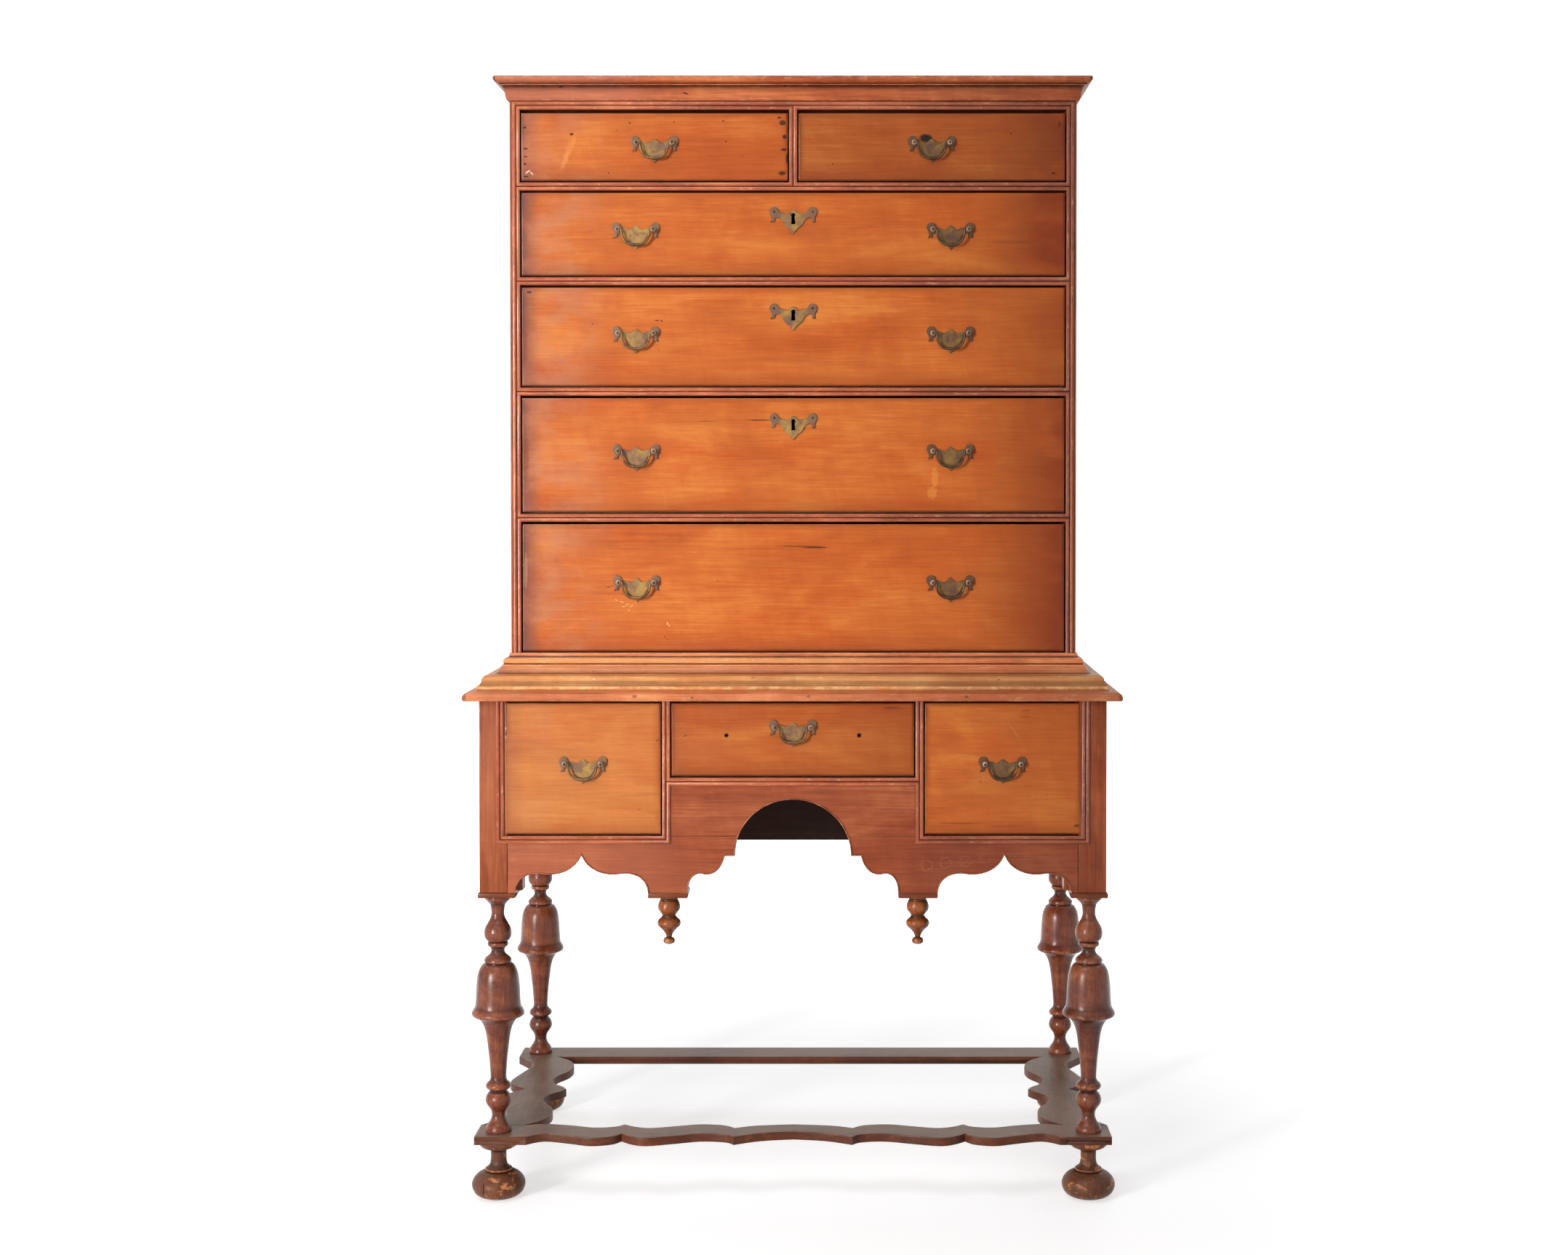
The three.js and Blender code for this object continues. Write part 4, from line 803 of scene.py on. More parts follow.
PENDANT_PROFILE = stretches(
    (460.0, 15.4),
    [(457.4, 15.6)],
    [(455.6, 13.4), (453.4, 13.6), (449.4, 15.6), (443.4, 17.1), (438.4, 16.0), (434.8, 13.2),
     (432.6, 11.6)],
    [(430.4, 10.4), (428.4, 10.6)],
    [(426.0, 12.4), (423.0, 15.8), (420.6, 17.4)],
    [(417.8, 17.8), (414.6, 16.9)],
    [(412.4, 15.2), (410.2, 12.6), (407.0, 9.4), (402.8, 6.2), (398.6, 4.5), (396.2, 4.1)],
    [(395.2, 6.4), (393.4, 8.2), (390.7, 8.9), (388.2, 8.0), (386.4, 5.2), (385.8, 2.6)],
)

for end, y in zip(("front", "rear"), LEG_Y):
    for hand, x in (("left", -LEG_X), ("right", LEG_X)):
        name = f"leg_{end}_{hand}"
        Shape().add(*lathe(LEG_PROFILE, x, y)).make(
            f"turned_{name}", "case", "turned_wood", turned_wood, [name])
        name = f"foot_{end}_{hand}"
        Shape().add(*lathe(FOOT_PROFILE, x, y)).make(
            f"turned_{name}", "case", "turned_wood", foot_wood, [name])
for hand, x in (("left", -PENDANT_X), ("right", PENDANT_X)):
    name = f"pendant_{hand}"
    Shape().add(*lathe(PENDANT_PROFILE, x, LEG_Y[0], 40)).make(
        f"turned_{name}", "case", "pendant_wood", pendant_wood, [name])

# Stretchers: each wavy edge as stretches of (share of the half span, share of the wave)

WAVE = 37.0
LAP_INNER = 34.5
END_X = 32.5
END_Y = 31.0
PLATE_INNER = 45.5
FRONT_EDGE = [
    [(0.84, -0.38), (0.75, -0.7), (0.68, -1.0), (0.61, -0.8), (0.58, -0.38)],
    [(0.54, -0.82), (0.49, -1.0), (0.4, -0.7), (0.31, -0.38), (0.23, -0.5), (0.2, -0.84)],
    [(0.11, -0.32), (0.0, -0.08)],
]
REAR_EDGE = [
    [(0.85, 1.0), (0.76, 0.8), (0.68, 0.49), (0.61, 0.62), (0.58, 0.95)],
    [(0.54, 0.6), (0.485, 0.43), (0.4, 0.7), (0.32, 0.95), (0.24, 0.82), (0.2, 0.43)],
    [(0.13, 0.76), (0.0, 0.95)],
]
INNER_EDGE = [
    [(0.79, 1.42), (0.7, 1.74), (0.58, 1.87), (0.46, 1.74), (0.36, 1.42), (0.27, 1.22), (0.2, 1.24),
     (0.13, 1.42), (0.06, 1.8), (0.0, 1.99)],
]
OUTER_EDGE = [[(0.75, -0.4), (0.63, -0.04), (0.42, -0.35), (0.21, -0.64), (0.1, -0.4), (0.0, 0.2)]]


def wavy(start, edges, place, mirror):
    half = stretches(start, *([place(*share) for share in edge] for edge in edges), steps=4)
    return half + [mirror(*point) for point in half[-2::-1]]


def cross_stretcher(name, leg_y, waved):
    end_x = LEG_X + END_X
    front_y, back_y = leg_y - END_Y, leg_y + END_Y

    def mirror(x, y):
        return (-x, y)

    def place(sign):
        return lambda along, wave: (sign * along * LEG_X, leg_y + wave * WAVE)

    fore = wavy((PLATE_INNER - LEG_X, front_y), FRONT_EDGE, place(-1), mirror)
    rear = wavy((LEG_X - LAP_INNER, back_y), REAR_EDGE, place(1), mirror)
    outline = [(-end_x, front_y), *(fore if waved else []), (end_x, front_y), (end_x, back_y),
               *(rear if waved else []), (-end_x, back_y)]
    shape = Shape().add(*board(outline, FOOT_TOP, STRETCHER_TOP, 0.9, flat))
    piece = shape.make(f"shaped_{name}", "case", "stretcher_wood", stretch_x, [name])
    lap = Shape()
    for sign in (-1, 1):
        x = sorted((sign * (LEG_X - LAP_INNER - LAP_GAP), sign * (end_x + 9)))
        lap.add(*plain(x, (front_y - 9, leg_y + WAVE + 9), (FOOT_TOP - 9, LAP_LEVEL)))
    return cut(piece, lap)


def side_stretcher(name, sign):
    middle = sum(LEG_Y) / 2
    front_y, back_y = LEG_Y[0] - END_Y, LEG_Y[1] + END_Y
    outer, inner = LEG_X + END_X, LEG_X - LAP_INNER

    def mirror(x, y):
        return (x, 2 * middle - y)

    def place(along, wave):
        return (sign * (LEG_X - wave * WAVE), middle - along * (LEG_Y[1] - LEG_Y[0]) / 2)

    out_edge = wavy((sign * outer, LEG_Y[0] + END_Y), OUTER_EDGE, place, mirror)
    in_edge = wavy((sign * inner, LEG_Y[0] + END_Y), INNER_EDGE, place, mirror)
    outline = [(sign * inner, front_y), (sign * outer, front_y), *out_edge, (sign * outer, back_y),
               (sign * inner, back_y), *in_edge[::-1]]
    shape = Shape().add(*board(outline, FOOT_TOP, STRETCHER_TOP, 0.9, flat))
    piece = shape.make(f"shaped_{name}", "case", "stretcher_wood", stretch_y, [name])
    lap = Shape()
    x = sorted((sign * (inner - 9), sign * (outer + 9)))
    for y0, y1 in ((front_y - 9, LEG_Y[0] + END_Y + LAP_GAP), (LEG_Y[1] - END_Y - LAP_GAP, back_y + 9)):
        lap.add(*plain(x, (y0, y1), (LAP_LEVEL - LAP_GAP, STRETCHER_TOP + 9)))
    return cut(piece, lap)


cross_stretcher("stretcher_front", LEG_Y[0], True)
cross_stretcher("stretcher_rear", LEG_Y[1], False)
side_stretcher("stretcher_left", -1)
side_stretcher("stretcher_right", 1)

# Lower case

ARCH_HALF = 87.6
ARCH_CROWN = 609.5
ARCH_SPRING = 524.0
ARCH_STEP = 15.0
COVE = 29.5
POINT_RISE = 57.0
SCALLOP = [(0, 0), (0.02, 0.7), (0.16, 1), (0.36, 1), (0.66, 0.78), (0.92, 1.19)]


def bezier(a, b, c, d, steps=8):
    line = []
    for step in range(steps + 1):
        t = step / steps
        line.append(tuple(
            p * (1 - t) ** 3 + 3 * q * t * (1 - t) ** 2 + 3 * r * t * t * (1 - t) + s * t ** 3
            for p, q, r, s in zip(a, b, c, d)))
    return line


def scallop(pad, point, level):
    """From a pad through the cove and the lobe up to the point."""
    bends = [(pad + (point - pad) * along, PAD_TOP + COVE * up) for along, up in SCALLOP]
    bends.append((point, level))
    return bezier(*bends[:4]) + bezier(*bends[3:])[1:]


ARCH_STEPS = 16


def arch(low, high):
    """The right half of the arch between two heights, from the bottom up."""
    line = []
    rise = ARCH_CROWN - ARCH_SPRING
    start = math.asin((low - ARCH_SPRING) / rise)
    stop = math.asin(min(1, (high - ARCH_SPRING) / rise))
    for step in range(ARCH_STEPS + 1):
        turn = start + (stop - start) * step / ARCH_STEPS
        line.append((ARCH_HALF * math.cos(turn), ARCH_SPRING + rise * math.sin(turn)))
    return line


def apron_edge():
    """The lower edge of the apron's right half, from the corner pad to the arch."""
    point = PAD_TOP + POINT_RISE
    corner = LOWER_HALF - PAD_WIDTH + PAD_LIP
    outer, inner = PENDANT_X + PENDANT_PAD / 2, PENDANT_X - PENDANT_PAD / 2
    middle = (corner + outer) / 2
    step = ARCH_HALF + ARCH_STEP
    return [
        (corner, CASE_BOTTOM), *scallop(corner, middle, point), *scallop(outer, middle, point)[-2::-1],
        (outer, CASE_BOTTOM), (inner, CASE_BOTTOM), *scallop(inner, step, ARCH_SPRING),
        *arch(ARCH_SPRING, SEAM),
    ]


edge = apron_edge()
APRON_FACES = (LOWER_FACE, LOWER_FACE + LOWER_BOARD)
PANEL_HALF = DIVIDER[0] + 0.1
PANEL_FOOT = SEAM + 0.25
shape = Shape()
for sign in (-1, 1):
    outline = mirrored([(STILE_INNER - 0.4, SEAM), (STILE_INNER - 0.4, CASE_BOTTOM), *edge], sign)
    shape.add(*board(outline, *APRON_FACES, 0.4, front))
crown = arch(PANEL_FOOT, ARCH_CROWN)
outline = [*crown, *mirrored(crown, -1)[-2::-1], (-PANEL_HALF, PANEL_FOOT), (-PANEL_HALF, CENTRE_FLOOR),
           (PANEL_HALF, CENTRE_FLOOR), (PANEL_HALF, PANEL_FOOT)]
shape.add(*board(outline, *APRON_FACES, 0.35, front))
shape.make("apron_boards", "case", "frame_wood", apron_wood, ["base_front"])

# A thin strip follows the apron's lower edge
STRIP = 2.2
strip_rises = [(0, 0.6), (0, -0.9), (0.5, -1.5), (1.1, -1.7), (1.7, -1.5), (STRIP, -0.9), (STRIP, 0.6)]
strip_section = [(out, LOWER_FACE + rise) for out, rise in strip_rises]
# The tones darken the strip where it meets the apron's face, partly as soiling and partly as painted shade in
# that crease.
strip_tones = [0.0, 0.2, 0.7, 1.0, 0.7, -0.8, -1.0]
outer_run = edge[1:edge.index((PENDANT_X + PENDANT_PAD / 2, CASE_BOTTOM))]
inner_run = edge[edge.index((PENDANT_X - PENDANT_PAD / 2, CASE_BOTTOM)) + 1:-ARCH_STEPS - 1]
inner_run += arch(ARCH_SPRING, ARCH_CROWN)
shape = Shape()
for run in (mirrored(outer_run, -1)[::-1], outer_run, inner_run + mirrored(inner_run, -1)[-2::-1]):
    shape.add(*sweep(run, strip_section, strip_tones, front)[:3])
shape.make("apron_strip", "case", "frame_wood", frame_x, ["base_front"])


# Posts, dividers, pads, bearers and glue blocks


def twin_blocks(name, slot, material, replaces, rows):
    """Plain boards on either side of the middle, from rows of x, y, z and ease, as one piece."""
    shape = Shape()
    for row in rows:
        shape.pair(block(*row))
    shape.make(name, "case", slot, material, [replaces])


def pads(name, replaces, columns, y):
    """Small blocks with a rounded edge, under posts on either side of the middle."""
    shape = Shape()
    for x in columns:
        shape.pair(board(rounded(x, y, 1.2), CASE_BOTTOM, PAD_TOP, 1.6, flat))
    shape.make(name, "case", "frame_wood", pad_wood, [replaces])


BLOCK_INNER = LOWER_HALF - 62
BLOCK_TOP = PAD_TOP + 60
PENDANT_BLOCK = 25.5
SIDE_BOARD = 16
inside_front, fore_end = LOWER_FACE + LOWER_BOARD, LOWER_FACE + POST_DEPTH
rear_start, inside_back = CASE_BACK - POST_DEPTH, CASE_BACK - LOWER_BACK - GLUE
side_inner = LOWER_HALF - SIDE_BOARD - GLUE
posts, side_depth = (STILE_INNER, LOWER_HALF), (inside_front, rear_start - GLUE)
post_levels, block_levels = (PAD_TOP, BASE_CEILING), (PAD_TOP, BLOCK_TOP)
under_side, over_side = (SIDE_FLOOR - BEARER, SIDE_FLOOR), (SIDE_FLOOR, SIDE_FLOOR + BEARER)
corner_pad = (LOWER_HALF + PAD_LIP - PAD_WIDTH, LOWER_HALF + PAD_LIP)
pendant_pad = (PENDANT_X - PENDANT_PAD / 2, PENDANT_X + PENDANT_PAD / 2)

twin_blocks("front_posts", "frame_wood", frame_z, "base_front", [
    (posts, (LOWER_FACE, fore_end), post_levels, 0.9),
    (DIVIDER, (LOWER_FACE, inside_front), (SEAM, BASE_CEILING), 0.2),
])
pads("front_pads", "base_front", [corner_pad, pendant_pad], (LOWER_FACE - PAD_LIP, fore_end + PAD_LIP))
twin_blocks("bearers", "back_wood", inside_y, "base_front", [
    ((POST_INNER - BEARER, side_inner), side_depth, under_side, 0.6),
    ((POST_INNER, side_inner), side_depth, over_side, 0.6),
    (DIVIDER, (inside_front, inside_back), (SIDE_FLOOR - BEARER, BASE_CEILING), 0.6),
    ((DIVIDER[1], DIVIDER[1] + BEARER), (inside_front, inside_back), under_side, 0.6),
    ((DIVIDER[0] - BEARER, DIVIDER[0]), (inside_front, inside_back), (CENTRE_FLOOR - 18, CENTRE_FLOOR), 0.6),
])
twin_blocks("glue_blocks", "frame_wood", frame_z, "base_front", [
    ((BLOCK_INNER, STILE_INNER), (inside_front, fore_end), block_levels, 0.8),
    ((PENDANT_X - PENDANT_BLOCK, PENDANT_X + PENDANT_BLOCK), (inside_front, fore_end),
     (PAD_TOP, SIDE_FLOOR - BEARER), 0.8),
])

# Back of the lower case
BACK_FOOT = 466
y = (CASE_BACK - LOWER_BACK, CASE_BACK)
Shape().add(*block((-STILE_INNER, STILE_INNER), y, (BACK_FOOT, BASE_CEILING))).make(
    "back_board_lower", "case", "back_wood", back_wood, ["base_back"])
twin_blocks("rear_posts", "frame_wood", frame_z, "base_back", [
    (posts, (rear_start, CASE_BACK), post_levels, 0.9),
    ((BLOCK_INNER, STILE_INNER), (rear_start, CASE_BACK - LOWER_BACK), block_levels, 0.8),
])
pads("rear_pads", "base_back", [corner_pad], (rear_start - PAD_LIP, CASE_BACK))

# Sides of the lower case: two points, with a wide lobe between them
LOBE_LEVEL = 496.0
PAD_SHOWS = PAD_LIP + GLUE
PAD_TO_POINT = 100
fore, aft = fore_end + GLUE, rear_start - GLUE
point, lobe = PAD_TOP + POINT_RISE, LOBE_LEVEL
middle = (fore + aft) / 2
near_pad, far_pad = fore + PAD_SHOWS, aft - PAD_SHOWS
near_point, far_point = near_pad + PAD_TO_POINT, far_pad - PAD_TO_POINT
near_mid, far_mid = (near_point + middle) / 2, (far_point + middle) / 2
outline = [
    (fore, PAD_TOP), *scallop(near_pad, near_point, point),
    *bezier((near_point, point), (near_point, lobe), (near_point, lobe), (near_mid, lobe))[1:],
    *bezier((far_mid, lobe), (far_point, lobe), (far_point, lobe), (far_point, point)),
    *scallop(far_pad, far_point, point)[-2::-1], (aft, PAD_TOP), (aft, BASE_CEILING), (fore, BASE_CEILING),
]
for hand, sign in (("left", -1), ("right", 1)):
    x = sorted((sign * LOWER_HALF, sign * (LOWER_HALF - SIDE_BOARD)))
    Shape().add(*board(outline, x[0], x[1], 0.5, side)).make(
        f"side_board_lower_{hand}", "case", "side_wood", side_wood, [f"base_side_{hand}"])

# Mouldings of the waist


def run_round(section, name, slot, materials, replaces, half, face, fillet=math.inf):
    """A moulding along the left side, the front and the right side of a case. The materials are those along
    and across, and the same two for what lies above the fillet's level."""
    tones = hollows(section)
    path = [(-half, CASE_BACK), (-half, face), (half, face), (half, CASE_BACK)]
    points, faces, spread, kinds = sweep(path, section, tones, flat)
    kinds = [kind + 2 if min(points[quad[0]][2], points[quad[1]][2]) >= fillet else kind
             for kind, quad in zip(kinds, faces)]
    return Shape().add(points, faces, spread, kinds).make(name, "case", slot, materials, replaces)


def slab(levels, half, front_y, name, slot, materials, replaces):
    """A board with moulded front and side edges, and a flat back. Levels are (how far out, height)."""
    tones = hollows(levels)
    points, spread = [], []
    for (out, level), tone in zip(levels, tones):
        points += [(-half - out, front_y - out, level), (half + out, front_y - out, level),
                   (half + out, CASE_BACK, level), (-half - out, CASE_BACK, level)]
        spread += [tone] * 4
    faces = skin(len(levels), 4) + end_faces(len(levels), 4)
    kinds = [0, 1, 0, 1] * (len(levels) - 1) + [0, 0]
    return Shape().add(points, faces, spread, kinds).make(name, "case", slot, materials, replaces)


levels = stretches(
    (-3.4, 0.0),
    [(-2.0, 0.2)],
    [(-0.6, 1.4), (0.0, 3.6), (-0.1, 6.2), (-1.2, 9.2), (-3.2, 11.4), (-6.6, 13.2), (-11.6, 14.4),
     (-18.0, 15.0)],
    [(-22.0, 15.1)],
)
levels = [(out, BASE_TOP[0] + rise) for out, rise in levels]
slab(levels, LOWER_HALF + 21.3, LOWER_FACE - 25.9, "waist_board", "moulding_wood", [redtop_x, redtop_y],
     ["base_top"])

section = stretches(
    (46.0, 775.3),
    [(46.8, 776.0), (47.0, 778.2), (46.4, 780.0), (45.0, 780.8)],
    [(43.2, 782.2), (41.2, 784.6), (40.1, 787.2), (39.7, 789.2)],
    [(39.3, 791.4), (37.9, 793.9), (35.2, 795.6), (31.0, 796.4), (20.4, 797.6)],
    [(18.2, 799.2), (15.8, 802.0), (14.0, 805.4), (12.9, 808.4), (12.6, 810.2)],
    [(10.0, 811.2)],
    [(10.9, 813.6), (10.5, 817.0), (8.6, 819.8), (5.6, 821.0)],
    [(3.2, 821.2)],
    [(2.9, 825.0), (2.4, 827.3)],
)
section = [(GLUE, WAIST[0])] + section + [(GLUE, WAIST[1])]
run_round(
    section, "waist_run", "moulding_wood", [golden_x, golden_y, redtop_x, redtop_y], ["waist_moulding"],
    UPPER_HALF, UPPER_FACE, 797.5)

# Upper case


def bead_runs(shape, paths, face, closed):
    """Adds rounded beads on a front face."""
    # The tones darken the quirks at both sides of each bead, partly as soiling and partly as painted shade,
    # and mark the crest as worn.
    section, tones = [(0, 1.5)], [-1.0]
    for step in range(11):
        turn = math.pi * step / 10
        section.append((BEAD * (1 - math.cos(turn)) / 2, -BEAD_PROUD * math.sin(turn)))
        tones.append(1.7 * math.sin(turn) - 1.1)
    section.append((BEAD, 1.5))
    tones.append(-1.0)
    for path in paths:
        shape.add(*sweep(path, [(out, face + rise) for out, rise in section], tones, front, closed))
    return shape


def ring(x0, x1, row):
    """Round an opening, from its upper left corner."""
    return [(x0, row[1]), (x0, row[0]), (x1, row[0]), (x1, row[1])]


half_stile = RAIL / 2
rings = [ring(-OPEN_HALF, OPEN_HALF, LONG_ROWS[number]) for number in (3, 2, 1)]
rings += [ring(-OPEN_HALF, -half_stile, SHORT_ROW), ring(half_stile, OPEN_HALF, SHORT_ROW)]
shape = bead_runs(Shape(), rings, UPPER_FACE, True)
outer, crest = OPEN_HALF + BEAD, SHORT_ROW[1] + BEAD
bead_runs(shape, [
    ring(outer, -outer, (crest, FIRST_OPENING)),
    ring(OPEN_HALF, -OPEN_HALF, (LONG_ROWS[4][1], FIRST_OPENING)),
], UPPER_FACE, False)
shape.make("upper_beads", "case", "frame_wood", [rail_x, rail_z], ["upper_frame"])

FACE_STRIP = 4
face_outline = ring(-UPPER_HALF, UPPER_HALF, (UPPER_FLOOR, CASE_TOP))
openings = [*rings, ring(-OPEN_HALF, OPEN_HALF, LONG_ROWS[4])]
Shape().add(*board(face_outline, UPPER_FACE, UPPER_FACE + FACE_STRIP, 0.2, front, openings)).make(
    "upper_face_strip", "case", "frame_wood", frame_z, ["upper_frame"])

RUNNER = 20
RAIL_DEPTH = 60
CLEAT = 18
FLOOR_BOARD = (815.0, 828.0)
inner = OPEN_HALF - GLUE
rail_front, rail_back = UPPER_FACE + FACE_STRIP, UPPER_FACE + RAIL_DEPTH
upper_inside_back = CASE_BACK - UPPER_BACK - GLUE
rail_depth, runner_depth = (rail_front, rail_back), (rail_back, upper_inside_back)
middle_rail = (LONG_ROWS[1][1], LONG_ROWS[1][1] + RAIL)
shape = Shape()
for _, ceiling in LONG_ROWS.values():
    rail = (ceiling, ceiling + RAIL)
    shape.add(*block((-inner, inner), rail_depth, rail, 0.6))
    shape.pair(block((inner - RUNNER, inner), runner_depth, rail, 0.6))
for half, y, z, ease in (
    (RUNNER, runner_depth, middle_rail, 0.6),
    (half_stile, runner_depth, (SHORT_ROW[0], SHORT_ROW[0] + RUNNER), 0.6),
    (half_stile, rail_depth, SHORT_ROW, 0.4),
    (inner, rail_depth, (SHORT_ROW[1], CASE_TOP), 0.6),
    (inner, (rail_front, UPPER_FACE + CLEAT), (UPPER_FLOOR, FLOOR_BOARD[0] - GLUE), 0.6),
    (inner, (rail_front, upper_inside_back), FLOOR_BOARD, 0.6),
):
    shape.add(*block((-half, half), y, z, ease))
shape.make("upper_rails", "case", "frame_wood", inside_x, ["upper_frame"])

side_x, side_z = POST_INNER + BEAD, SIDE_FLOOR - BEAD
centre_x, centre_z = DIVIDER[1] - BEAD, CENTRE_FLOOR - BEAD
half_path = [(side_x, BASE_CEILING), (side_x, side_z), (centre_x, side_z), (centre_x, centre_z)]
side_row = (SIDE_FLOOR, BASE_CEILING)
bead_runs(Shape(), [
    ring(-DIVIDER[0], DIVIDER[0], (CENTRE_FLOOR, BASE_CEILING)),
    mirrored(half_path, -1) + half_path[::-1],
    ring(-POST_INNER, -DIVIDER[1], side_row),
    ring(DIVIDER[1], POST_INNER, side_row),
], LOWER_FACE, False).make("lower_beads", "case", "frame_wood", [rail_x, rail_z], ["base_front"])

for hand, sign in (("left", -1), ("right", 1)):
    x = sorted((sign * UPPER_HALF, sign * OPEN_HALF))
    y = (rail_front + GLUE, upper_inside_back)
    Shape().add(*block(x, y, (UPPER_FLOOR, CASE_TOP))).make(
        f"side_board_upper_{hand}", "case", "side_wood", side_wood, [f"upper_side_{hand}"])

shape = Shape()
seams = [UPPER_FLOOR, 998, 1236, 1451, CASE_TOP]
back_boards = list(zip(seams, seams[1:]))
for low, high in back_boards:
    y = (CASE_BACK - UPPER_BACK, CASE_BACK)
    shape.add(*block((-UPPER_HALF, UPPER_HALF), y, (low + 0.4, high - 0.4), 1.2))
shape.make("back_boards_upper", "case", "back_wood", back_wood, ["upper_back"])


def nails(name, places):
    """Forged nail heads in the back boards."""
    head = [(1.1, 0.4), (0.9, 1.6), (0.4, 2.8), (-0.3, 3.2)]
    shape = Shape()
    for x, z in places:
        points, faces, tones = lathe(head, 0, 0, 8)
        shape.add([(x + px, CASE_BACK + pz, z + py) for px, py, pz in points], faces, tones)
    shape.make(name, "case", "back_wood", iron)


nails("nails_upper", [
    (sign * (UPPER_HALF - 7), low + (high - low) * share)
    for low, high in back_boards for share in (0.14, 0.5, 0.86) for sign in (-1, 1)])
nails("nails_lower", [(x, z) for x in (-418, 418) for z in (500, 590, 680)])
nails("nails_top", [(x, BASE_CEILING - 9) for x in (-300, -100, 100, 300)])

section = stretches(
    (0.0, 1664.6),
    [(1.4, 1664.9)],
    [(3.6, 1666.2), (4.8, 1668.8)],
    [(5.7, 1673.2), (6.4, 1678.0), (7.4, 1682.6), (9.2, 1685.6), (12.0, 1687.2)],
    [(13.8, 1687.2), (14.7, 1688.2), (14.2, 1689.3)],
    [(15.4, 1689.6)],
    [(17.8, 1690.4), (20.4, 1692.4), (21.8, 1695.0), (22.0, 1697.4), (21.2, 1699.4)],
    [(20.4, 1700.0)],
)
section = [(GLUE, CORNICE[0])] + section + [(GLUE, CORNICE[1])]
run_round(section, "cornice_run", "frame_wood", [cornice_x, cornice_y], ["cornice"], UPPER_HALF, UPPER_FACE)
Shape().add(*block(
    (-UPPER_HALF, UPPER_HALF), (UPPER_FACE, CASE_BACK), (CORNICE[0] + GLUE, CORNICE[1] - GLUE), 0.8)).make(
    "top_board", "case", "frame_wood", top_wood, ["cornice"])


# Drawers


SKIN = 5.9
FRONT_BOARD = 20
DRAWER_SIDE = 12
DRAWER_BOTTOM = 8
TAIL_PITCH = 34
TAIL_GAP = 0.12


def wedge(near, far, fore, aft):
    """The side of a dovetail or pin between two depths, with its levels at each."""
    return [(near, fore[0]), (near, fore[1]), (far, aft[1]), (far, aft[0])]


def drawer(name, x, row, case, top_gap, colours, seed, ends, marks=(), holes=()):
    """A drawer: its front, and a box of sides, back and bottom with dovetails at the front corners."""
    body = f"drawer_{name}"
    face, length = case
    joint, inside, end = face + SKIN, face + FRONT_BOARD, face + length
    x0, x1 = x[0] + SIDE_GAP, x[1] - SIDE_GAP
    z0, z1 = row[0] + SIDE_GAP, row[1] - top_gap
    material = wood(
        f"front_{name}", colours, "x", seed, wear=0.5, streaks=0.6, specks=0.4,
        panel=(x0, x1, z0, z1, *ends), marks=marks)
    fore = Shape().add(*board(rounded((x0, x1), (z0, z1), 0.9), face, joint - 0.1, 0.7, front, holes))
    core = rounded((x0 + DRAWER_SIDE + 0.1, x1 - DRAWER_SIDE - 0.1), (z0 + 0.4, z1 - 0.2), 0.3)
    fore.add(*board(core, joint, inside, 0.3, front, holes))
    low, high = row[0] + 0.3, z1 - 6
    first = z0 + 0.2
    count = max(3, round((high - first) / TAIL_PITCH))
    pitch = (high - first) / count
    box = Shape()
    for across in ((x0, x0 + DRAWER_SIDE), (x1 - DRAWER_SIDE, x1)):
        for i in range(count):
            base = first + i * pitch
            a, b, c, d, e = (base + pitch * share for share in (0.1, 0.2, 0.8, 0.9, 1.0))
            box.add(*board(wedge(joint, inside, (a, d), (b, c)), *across, TAIL_GAP, side))
            lower_pin = ((base, a - TAIL_GAP), (base, b - TAIL_GAP))
            upper_pin = ((d + TAIL_GAP, e), (c + TAIL_GAP, e))
            for levels in (lower_pin, upper_pin):
                fore.add(*board(wedge(joint - 0.2, inside - 0.1, *levels), *across, 0.1, side))
        box.add(*block(across, (inside, end), (low, high), 0.9))
    between = (x0 + DRAWER_SIDE, x1 - DRAWER_SIDE)
    box.add(*block(between, (end - DRAWER_SIDE, end), (low + 9, high - 4), 0.9))
    box.add(*block(between, (inside, end), (low, low + DRAWER_BOTTOM), 0.4))
    fore.make(f"front_of_{body}", body, "front_wood", material, [body])
    box.make(f"box_of_{body}", body, "back_wood", inside_y, [body])


upper_face, lower_face = UPPER_FACE - PROUD, LOWER_FACE - PROUD
BEHIND_UPPER, BEHIND_LOWER = 14, 19
UPPER_DRAWER = (upper_face, CASE_BACK - UPPER_BACK - BEHIND_UPPER - upper_face)
LOWER_DRAWER = (lower_face, CASE_BACK - LOWER_BACK - BEHIND_LOWER - lower_face)
KEY_LEVELS = {1: 1497.7, 2: 1351.6, 3: 1185.3}
KEY_RADIUS = 3.2


def keyhole(level, spread=0.0):
    """The outline of a keyhole, a round hole over a straight slot."""
    radius = KEY_RADIUS + spread
    turns = [math.radians(degrees) for degrees in range(-55, 236, 20)]
    hole = [(radius * math.cos(turn), level - 5.3 + radius * math.sin(turn)) for turn in turns]
    return hole + [(-radius, level - 18.6 - spread), (radius, level - 18.6 - spread)]


def round_hole(x, z, radius):
    turns = [math.pi * i / 6 for i in range(12)]
    return [(x + radius * math.cos(turn), z + radius * math.sin(turn)) for turn in turns]


